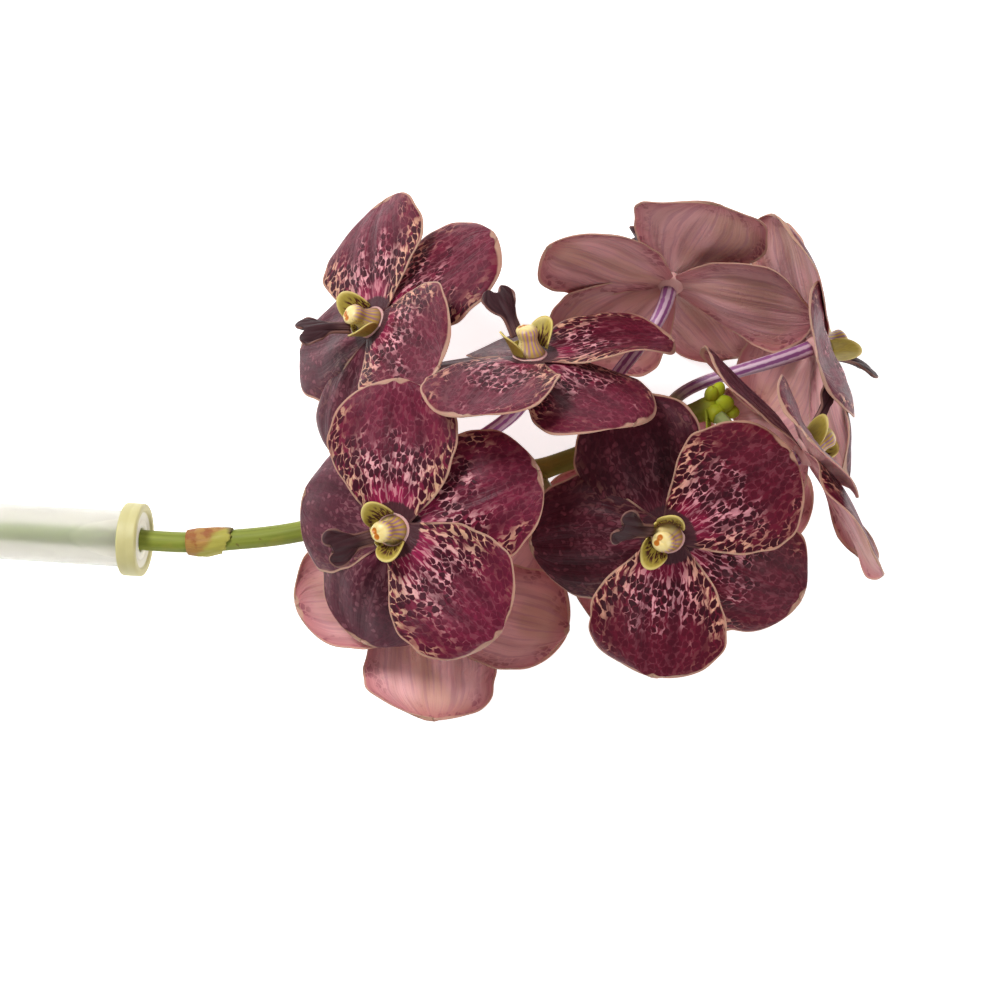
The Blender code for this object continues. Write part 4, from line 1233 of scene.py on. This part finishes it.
# %% The stem's marks and finish
marks = add(tree, "TexNoise", {}, {"Vector": place, "Scale": 0.7 / MM, "Detail": 1.0})["Fac"]
marks = add(tree, "MapRange", *ramp(0.70, 0.76, marks, 0.0, 0.7))[0]
green = add(tree, "Mix", MIX, {0: marks, 6: green, 7: linear("#6d5a2c")})[2]
look = {
    "Base Color": green,
    "Roughness": add(tree, "MapRange", *ramp(0.3, 0.7, streaks, 0.50, 0.60))[0],
    "Normal": add(tree, "Bump", {}, {"Strength": 0.25, "Distance": 0.15 * MM, "Height": streaks})[0],
    "IOR": 1.42,
    "Specular IOR Level": 0.3,
    "Subsurface Weight": 0.12,
    "Subsurface Radius": (0.6, 1.0, 0.2),
    "Subsurface Scale": 1.0 * MM,
}
shader = add(tree, "BsdfPrincipled", {}, look)
add(tree, "OutputMaterial", {}, {"Surface": shader[0]})

stem = add_piece("green_stem", joined(grown), green_skin, "stem")
print("faces in the stem:", len(stem.data.polygons))

# %% [markdown]
# Between the tube and the flowers a dry sheath is left round a joint of the stem. It is thin and papery,
# brown with a small yellow-green window, and its end is torn. It is a sheet rolled round the stem, whose end
# reaches further on one side.

# %% The dry sheath
SHEATH_FROM, SHEATH_TO = -97, -85
SHEATH_REACH = 150


def sheath_of():
    """radius = 3.75 + 0.55 sin(pi u) + crumples; the end lies at -85.2 + 2.6 cos(angle - 45 degrees), torn
    by a few sines."""
    along, across = grid(27, 61)
    angle = np.radians(SHEATH_REACH * (2 * across - 1))
    torn = 0.35 * np.sin(7 * angle) + 0.2 * np.sin(17 * angle + 1)
    end = SHEATH_TO - 0.2 + 2.6 * np.cos(angle - np.pi / 4) + torn * (along > 0.5)
    x = SHEATH_FROM + (end - SHEATH_FROM) * along + shift[0]
    middle = np.stack([np.interp(x, stem_path[:, 0], stem_path[:, i]) for i in range(3)], axis=-1)
    _, direction = on_stem((SHEATH_FROM + SHEATH_TO) / 2 + shift[0])
    side = unit(np.cross((0, 0, 1), direction))
    over = np.cross(direction, side)
    crumple = 0.12 * np.sin(5 * angle + 6 * along) + 0.10 * np.sin(11 * angle - 9 * along)
    radius = STEM_RADIUS + 0.55 + 0.55 * np.sin(np.pi * along) + crumple * np.sin(np.pi * along)
    ring = side * np.sin(angle)[..., None] + over * np.cos(angle)[..., None]
    points = middle + radius[..., None] * ring
    tone = np.stack((along, 2 * across - 1, 0 * along), axis=-1)
    return blade_of(points, 0.45, {"tone": tone})


print("points in the sheath:", len(sheath_of()[0]))

# %% [markdown]
# The sheath's skin is dead leaf: dry, fibrous and papery, so it is matt and has no glow from within. The
# fibres are a noise stretched along it, and they are also its bump. Rust-brown blotches lie over them. The
# yellow-green window is where the height along, less a share of the angle round, is large.

# %% The sheath's papery skin
dry_skin, tree = new_material("dry_papery_sheath")
tone = add(tree, "Attribute", {"attribute_name": "tone"}, {})["Vector"]
along, across, _ = add(tree, "SeparateXYZ", {}, {0: tone})
place = add(tree, "TexCoord", {}, {})["Object"]
blotches = add(tree, "TexNoise", {}, {"Vector": place, "Scale": 0.26 / MM, "Detail": 4.0})["Fac"]
at = add(tree, "VectorMath", TIMES, {0: tone, 1: (2.2, 16.0, 0.0)})[0]
fibres = add(tree, "TexNoise", {}, {"Vector": at, "Scale": 1.6, "Detail": 3.0})["Fac"]
brown = add(tree, "Mix", MIX, {0: fibres, 6: linear("#8a5a28"), 7: linear("#bb9148")})[2]
rust = add(tree, "MapRange", *ramp(0.46, 0.62, blotches, 0.0, 0.85))[0]
brown = add(tree, "Mix", MIX, {0: rust, 6: brown, 7: linear("#8e4a1e")})[2]
lower = add(tree, "Math", TIMES_PLUS, {0: across, 1: -0.7, 2: along})[0]
lower = add(tree, "Math", TIMES_PLUS, {0: blotches, 1: 0.6, 2: lower})[0]
window = add(tree, "MapRange", *ramp(0.72, 1.0, lower, 0.0, 0.9))[0]
colour = add(tree, "Mix", MIX, {0: window, 6: brown, 7: linear("#a8a344")})[2]
tip = add(tree, "Math", TIMES_PLUS, {0: across, 1: 0.35, 2: along})[0]
tip = add(tree, "MapRange", *ramp(0.98, 1.10, tip, 0.0, 0.85))[0]
colour = add(tree, "Mix", MIX, {0: tip, 6: colour, 7: linear("#5d4a2e")})[2]
look = {
    "Base Color": colour,
    "Roughness": add(tree, "MapRange", *ramp(0.3, 0.7, fibres, 0.55, 0.75))[0],
    "Normal": add(tree, "Bump", {}, {"Strength": 0.6, "Distance": 0.25 * MM, "Height": fibres})[0],
    "IOR": 1.45,
}
shader = add(tree, "BsdfPrincipled", {}, look)
add(tree, "OutputMaterial", {}, {"Surface": shader[0]})

sheath = add_piece("dry_sheath", sheath_of(), dry_skin, "stem_sheath")
print("faces in the sheath:", len(sheath.data.polygons))

# %% [markdown]
# The water tube is a small bottle of thin clear plastic. It is one turned profile: up the inside, over the
# mouth and down the outside to the rounded closed end, so its wall has a real thickness. A turned profile
# is the shortest way to write a shape that was blown in a round mould.

# %% The water tube
TUBE_RADIUS, TUBE_WALL = 8.8, 1.0
ROUND = 1.4
WATER_LEVEL = 27.5
turn = np.radians(np.linspace(0, 90, 12))
corner = np.column_stack((TUBE_RADIUS - ROUND + ROUND * np.cos(turn), ROUND - ROUND * np.sin(turn)))
heights = np.linspace(TUBE_WALL, TUBE_LENGTH, 30)
inside = np.column_stack((np.full(30, TUBE_RADIUS - TUBE_WALL), heights))
outside = np.column_stack((np.full(30, TUBE_RADIUS), np.linspace(TUBE_LENGTH, ROUND + 0.5, 30)))
tube_profile = np.vstack(((0, TUBE_WALL), inside, outside, corner, (0, 0)))
print("the tube has", len(tube_profile), "points in its profile")

# %% [markdown]
# The plastic is blown polypropylene, clear but frosted. Milky plastic lets part of the light through and
# scatters the rest, so its transmission is less than one and its roughness is high. Some light goes
# straight through so thin a wall, which is what an alpha below one says. Above the water the inside is
# fogged with fine drops, and they hide more of what is behind them.

# %% The tube's frosted plastic
frosted_plastic, tree = new_material("frosted_clear_plastic")
place = add(tree, "TexCoord", {}, {})["Object"]
cloud = add(tree, "TexNoise", {}, {"Vector": place, "Scale": 0.16 / MM, "Detail": 3.0})["Fac"]
height = add(tree, "SeparateXYZ", {}, {0: place})[2]
height = add(tree, "Math", TIMES_PLUS, {0: cloud, 1: 0.6 * MM, 2: height})[0]
fog = add(tree, "MapRange", *ramp(WATER_LEVEL * MM, (WATER_LEVEL + 0.7) * MM, height))[0]
look = {
    "Base Color": linear("#e6e2d8"),
    "Roughness": add(tree, "MapRange", *ramp(0.0, 1.0, fog, 0.42, 0.52))[0],
    "Transmission Weight": 0.7,
    "Alpha": add(tree, "MapRange", *ramp(0.0, 1.0, fog, 0.60, 0.80))[0],
    "IOR": 1.2,
}
shader = add(tree, "BsdfPrincipled", {}, look)
add(tree, "OutputMaterial", {}, {"Surface": shader[0]})

tube_part = turned_of(tube_profile, 96, tube_frame)
tube = add_piece("water_tube_clear", tube_part, frosted_plastic, "water_tube")
print("faces in the tube:", len(tube.data.polygons))

# %% [markdown]
# A soft rubber cap closes the tube, and the stem passes through its middle. Rubber caps are moulded, so
# their edges are rounded: the front is a raised rim round a shallow recess with a fine groove in it.

# %% The rubber cap
CAP_RADIUS = 11.4


def round_corner(x, z, size, start):
    """A quarter circle in the profile, from the angle start in degrees."""
    turn = np.radians(np.linspace(start, start - 90, 7))
    return [(x + size * np.cos(a), z + size * np.sin(a)) for a in turn]


hole = STEM_RADIUS + GAP + 0.1
cap_profile = [(hole, 1.2), (hole + 0.4, 1.6)]
cap_profile += [(6.1, 1.6), (6.25, 1.42), (6.4, 1.6)]
cap_profile += [(8.5, 1.6), (8.9, 1.75), (9.1, 2.1)]
cap_profile += [(9.3, 2.33), (9.6, 2.4)]
cap_profile += round_corner(CAP_RADIUS - 0.7, CAP_FRONT - 0.7, 0.7, 90)
cap_profile += [(CAP_RADIUS, -0.4), (CAP_RADIUS - 0.06, -0.6), (CAP_RADIUS, -0.8)]
cap_profile += round_corner(CAP_RADIUS - 0.6, -CAP_BACK + 0.6, 0.6, 0)
cap_profile += [(TUBE_RADIUS + 0.5, -CAP_BACK), (TUBE_RADIUS + GAP, -CAP_BACK + 0.3)]
cap_profile += [(TUBE_RADIUS + GAP, GAP), (hole, GAP)]
cap_frame = tube_frame.copy()
cap_frame[:3, 3] = mouth
print("the cap is", 2 * CAP_RADIUS, "mm across")

# %% [markdown]
# The cap's rubber is moulded and unpainted, so it has a dull satin skin with a grain of about 0.4 mm. It is
# a little cloudy and takes some light in. The recess in its front is paler, as if it were dusted.

# %% The cap's rubber
olive_rubber, tree = new_material("moulded_olive_rubber")
turned = add(tree, "Attribute", {"attribute_name": "turned"}, {})["Vector"]
radius, height, _ = add(tree, "SeparateXYZ", {}, {0: turned})
place = add(tree, "TexCoord", {}, {})["Object"]
cloud = add(tree, "TexNoise", {}, {"Vector": place, "Scale": 0.22 / MM, "Detail": 3.0})["Fac"]
grain = add(tree, "TexNoise", {}, {"Vector": place, "Scale": 2.4 / MM, "Detail": 2.0})["Fac"]
olive = add(tree, "Mix", MIX, {0: cloud, 6: linear("#bfb67c"), 7: linear("#cfc68e")})[2]
recess = add(tree, "MapRange", *ramp(9.0, 8.4, radius))[0]
at_front = add(tree, "MapRange", *ramp(0.8, 1.2, height))[0]
recess = add(tree, "Math", TIMES, {0: recess, 1: at_front})[0]
colour = add(tree, "Mix", MIX, {0: recess, 6: olive, 7: linear("#e6e0cf")})[2]
look = {
    "Base Color": colour,
    "Roughness": add(tree, "MapRange", *ramp(0.3, 0.7, cloud, 0.42, 0.55))[0],
    "Normal": add(tree, "Bump", {}, {"Strength": 0.15, "Distance": 0.05 * MM, "Height": grain})[0],
    "IOR": 1.5,
    "Subsurface Weight": 0.15,
    "Subsurface Radius": (1.0, 0.9, 0.6),
    "Subsurface Scale": 1.5 * MM,
}
shader = add(tree, "BsdfPrincipled", {}, look)
add(tree, "OutputMaterial", {}, {"Surface": shader[0]})

cap_part = turned_of(cap_profile, 96, cap_frame, closed=True)
cap = add_piece("rubber_cap", cap_part, olive_rubber, "tube_cap")
print("faces in the cap:", len(cap.data.polygons))

# %% [markdown]
# The tube holds water round the foot of the stem. It is the bore's shape, a little smaller, with a hole for
# the stem. Water is clear and smooth and bends light with an IOR of 1.333. In so small a tube it only has
# to be seen through, so part of the light goes straight on.

# %% The water
still_water, tree = new_material("still_water")
place = add(tree, "TexCoord", {}, {})["Object"]
ripple = add(tree, "TexNoise", {}, {"Vector": place, "Scale": 0.06 / MM, "Detail": 1.0})["Fac"]
look = {
    "Base Color": linear("#f8fbfa"),
    "Roughness": 0.02,
    "Transmission Weight": 1.0,
    "Alpha": 0.35,
    "IOR": 1.333,
    "Normal": add(tree, "Bump", {}, {"Strength": 0.05, "Distance": 0.2 * MM, "Height": ripple})[0],
}
shader = add(tree, "BsdfPrincipled", {}, look)
add(tree, "OutputMaterial", {}, {"Surface": shader[0]})

bore, around = TUBE_RADIUS - TUBE_WALL - GAP, STEM_RADIUS + GAP
floor_of_hole = TUBE_LENGTH - STEM_IN_TUBE - GAP
low_end, high_end = TUBE_WALL + GAP, TUBE_LENGTH - GAP
water_profile = [(0, floor_of_hole), (around, floor_of_hole), (around, high_end)]
water_profile += [(bore, high_end), (bore, low_end), (0, low_end)]
points, faces, _ = turned_of(water_profile, 96, tube_frame)
water = add_piece("tube_water", (points, faces, {}), still_water, "water")
print("the water stands", WATER_LEVEL, "mm over the surface")

# %% [markdown]
# So far the water fills the tube. Its level surface is where the slanted tube shows a curved line. A plane
# cuts everything above it away and leaves a hole in the closed mesh, and filling the cut edges closes it.

# %% The water's level
shape = bmesh.new()
shape.from_mesh(water.data)
everything = shape.verts[:] + shape.edges[:] + shape.faces[:]
level = {"plane_co": (0, 0, WATER_LEVEL * MM), "plane_no": (0, 0, 1)}
cut = bmesh.ops.bisect_plane(shape, geom=everything, clear_outer=True, **level)
rim = [item for item in cut["geom_cut"] if isinstance(item, bmesh.types.BMEdge)]
bmesh.ops.triangle_fill(shape, edges=rim, use_beauty=True)
bmesh.ops.triangulate(shape, faces=shape.faces)
bmesh.ops.recalc_face_normals(shape, faces=shape.faces)
print("water in the tube:", round(shape.calc_volume(signed=True) / MM**3 / 1000, 1), "ml")
shape.to_mesh(water.data)
shape.free()
water.data.set_sharp_from_angle(angle=np.radians(40))

# %% [markdown]
# The flower was photographed from straight above on a table that glows white. So the floor is a wide sheet
# of white studio paper, matt and nearly even, that also shines a little. It belongs to the stage.

# %% The floor
FLOOR_HALF = 4.0
FLOOR_GLOW = 0.7
paper, tree = new_material("white_studio_paper")
place = add(tree, "TexCoord", {}, {})["Object"]
grain = add(tree, "TexNoise", {}, {"Vector": place, "Scale": 0.3 / MM, "Detail": 2.0})["Fac"]
look = {
    "Base Color": add(tree, "Mix", MIX, {0: grain, 6: linear("#fafafa"), 7: linear("#fdfdfd")})[2],
    "Roughness": 0.9,
    "Emission Color": linear("#ffffff"),
    "Emission Strength": FLOOR_GLOW,
}
shader = add(tree, "BsdfPrincipled", {}, look)
add(tree, "OutputMaterial", {}, {"Surface": shader[0]})

floor_mesh = bpy.data.meshes.new("floor")
floor_corners = [(x * FLOOR_HALF, y * FLOOR_HALF, 0) for x, y in ((-1, -1), (1, -1), (1, 1), (-1, 1))]
floor_mesh.from_pydata(floor_corners, [], [(0, 1, 2, 3)])
floor_mesh.materials.append(paper)
floor = bpy.data.objects.new("floor", floor_mesh)
bpy.context.scene.collection.objects.link(floor)
print("the floor is", 2 * FLOOR_HALF, "m wide")

# %% [markdown]
# The light is soft. The world is a dim even white, and two round lamps from opposite sides, about as wide
# as an umbrella, give the petals their gentle shading. The key lamp is the smaller and stronger one.

# %% The light
EVEN_LIGHT = 0.30
world = bpy.data.worlds.new("white_studio")
world.use_nodes = True
world.node_tree.nodes["Background"].inputs["Color"].default_value = linear("#ffffff")
world.node_tree.nodes["Background"].inputs["Strength"].default_value = EVEN_LIGHT
bpy.context.scene.world = world


def add_lamp(name, place, size, power):
    """A round lamp that looks at the origin. Its place and size are in metres, its power in watts."""
    light = bpy.data.lights.new(name, "AREA")
    light.shape = "DISK"
    light.size = size
    light.energy = power
    lamp = bpy.data.objects.new(name, light)
    lamp.location = place
    lamp.rotation_euler = (-Vector(place)).to_track_quat("-Z", "Y").to_euler()
    bpy.context.scene.collection.objects.link(lamp)


add_lamp("key_lamp", place=(-1.0, 1.2, 1.6), size=0.8, power=42.0)
add_lamp("fill_lamp", place=(1.3, -0.8, 1.5), size=1.3, power=17.0)
print("lamps:", len(bpy.data.lights))

# %% [markdown]
# The camera stands 1.2 m up and looks straight down, as in the photograph. A lens of length f on a sensor
# of width w shows a width of w d / f at the distance d. So the lens is worked out from the 300 mm that the
# picture is wide at the height of the blooms.

# %% The camera
CAMERA_HEIGHT = 1200.0
PICTURE_WIDTH = 300.0
BLOOM_HEIGHT = 70.0
SENSOR = 36.0
camera_data = bpy.data.cameras.new("camera")
camera_data.sensor_width = SENSOR
camera_data.lens = SENSOR * (CAMERA_HEIGHT - BLOOM_HEIGHT) / PICTURE_WIDTH
camera = bpy.data.objects.new("camera", camera_data)
camera.location = (shift[0] * MM, shift[1] * MM, CAMERA_HEIGHT * MM)
bpy.context.scene.collection.objects.link(camera)
bpy.context.scene.camera = camera
bpy.context.scene.view_settings.view_transform = "Standard"
print("lens:", round(camera_data.lens, 1), "mm")
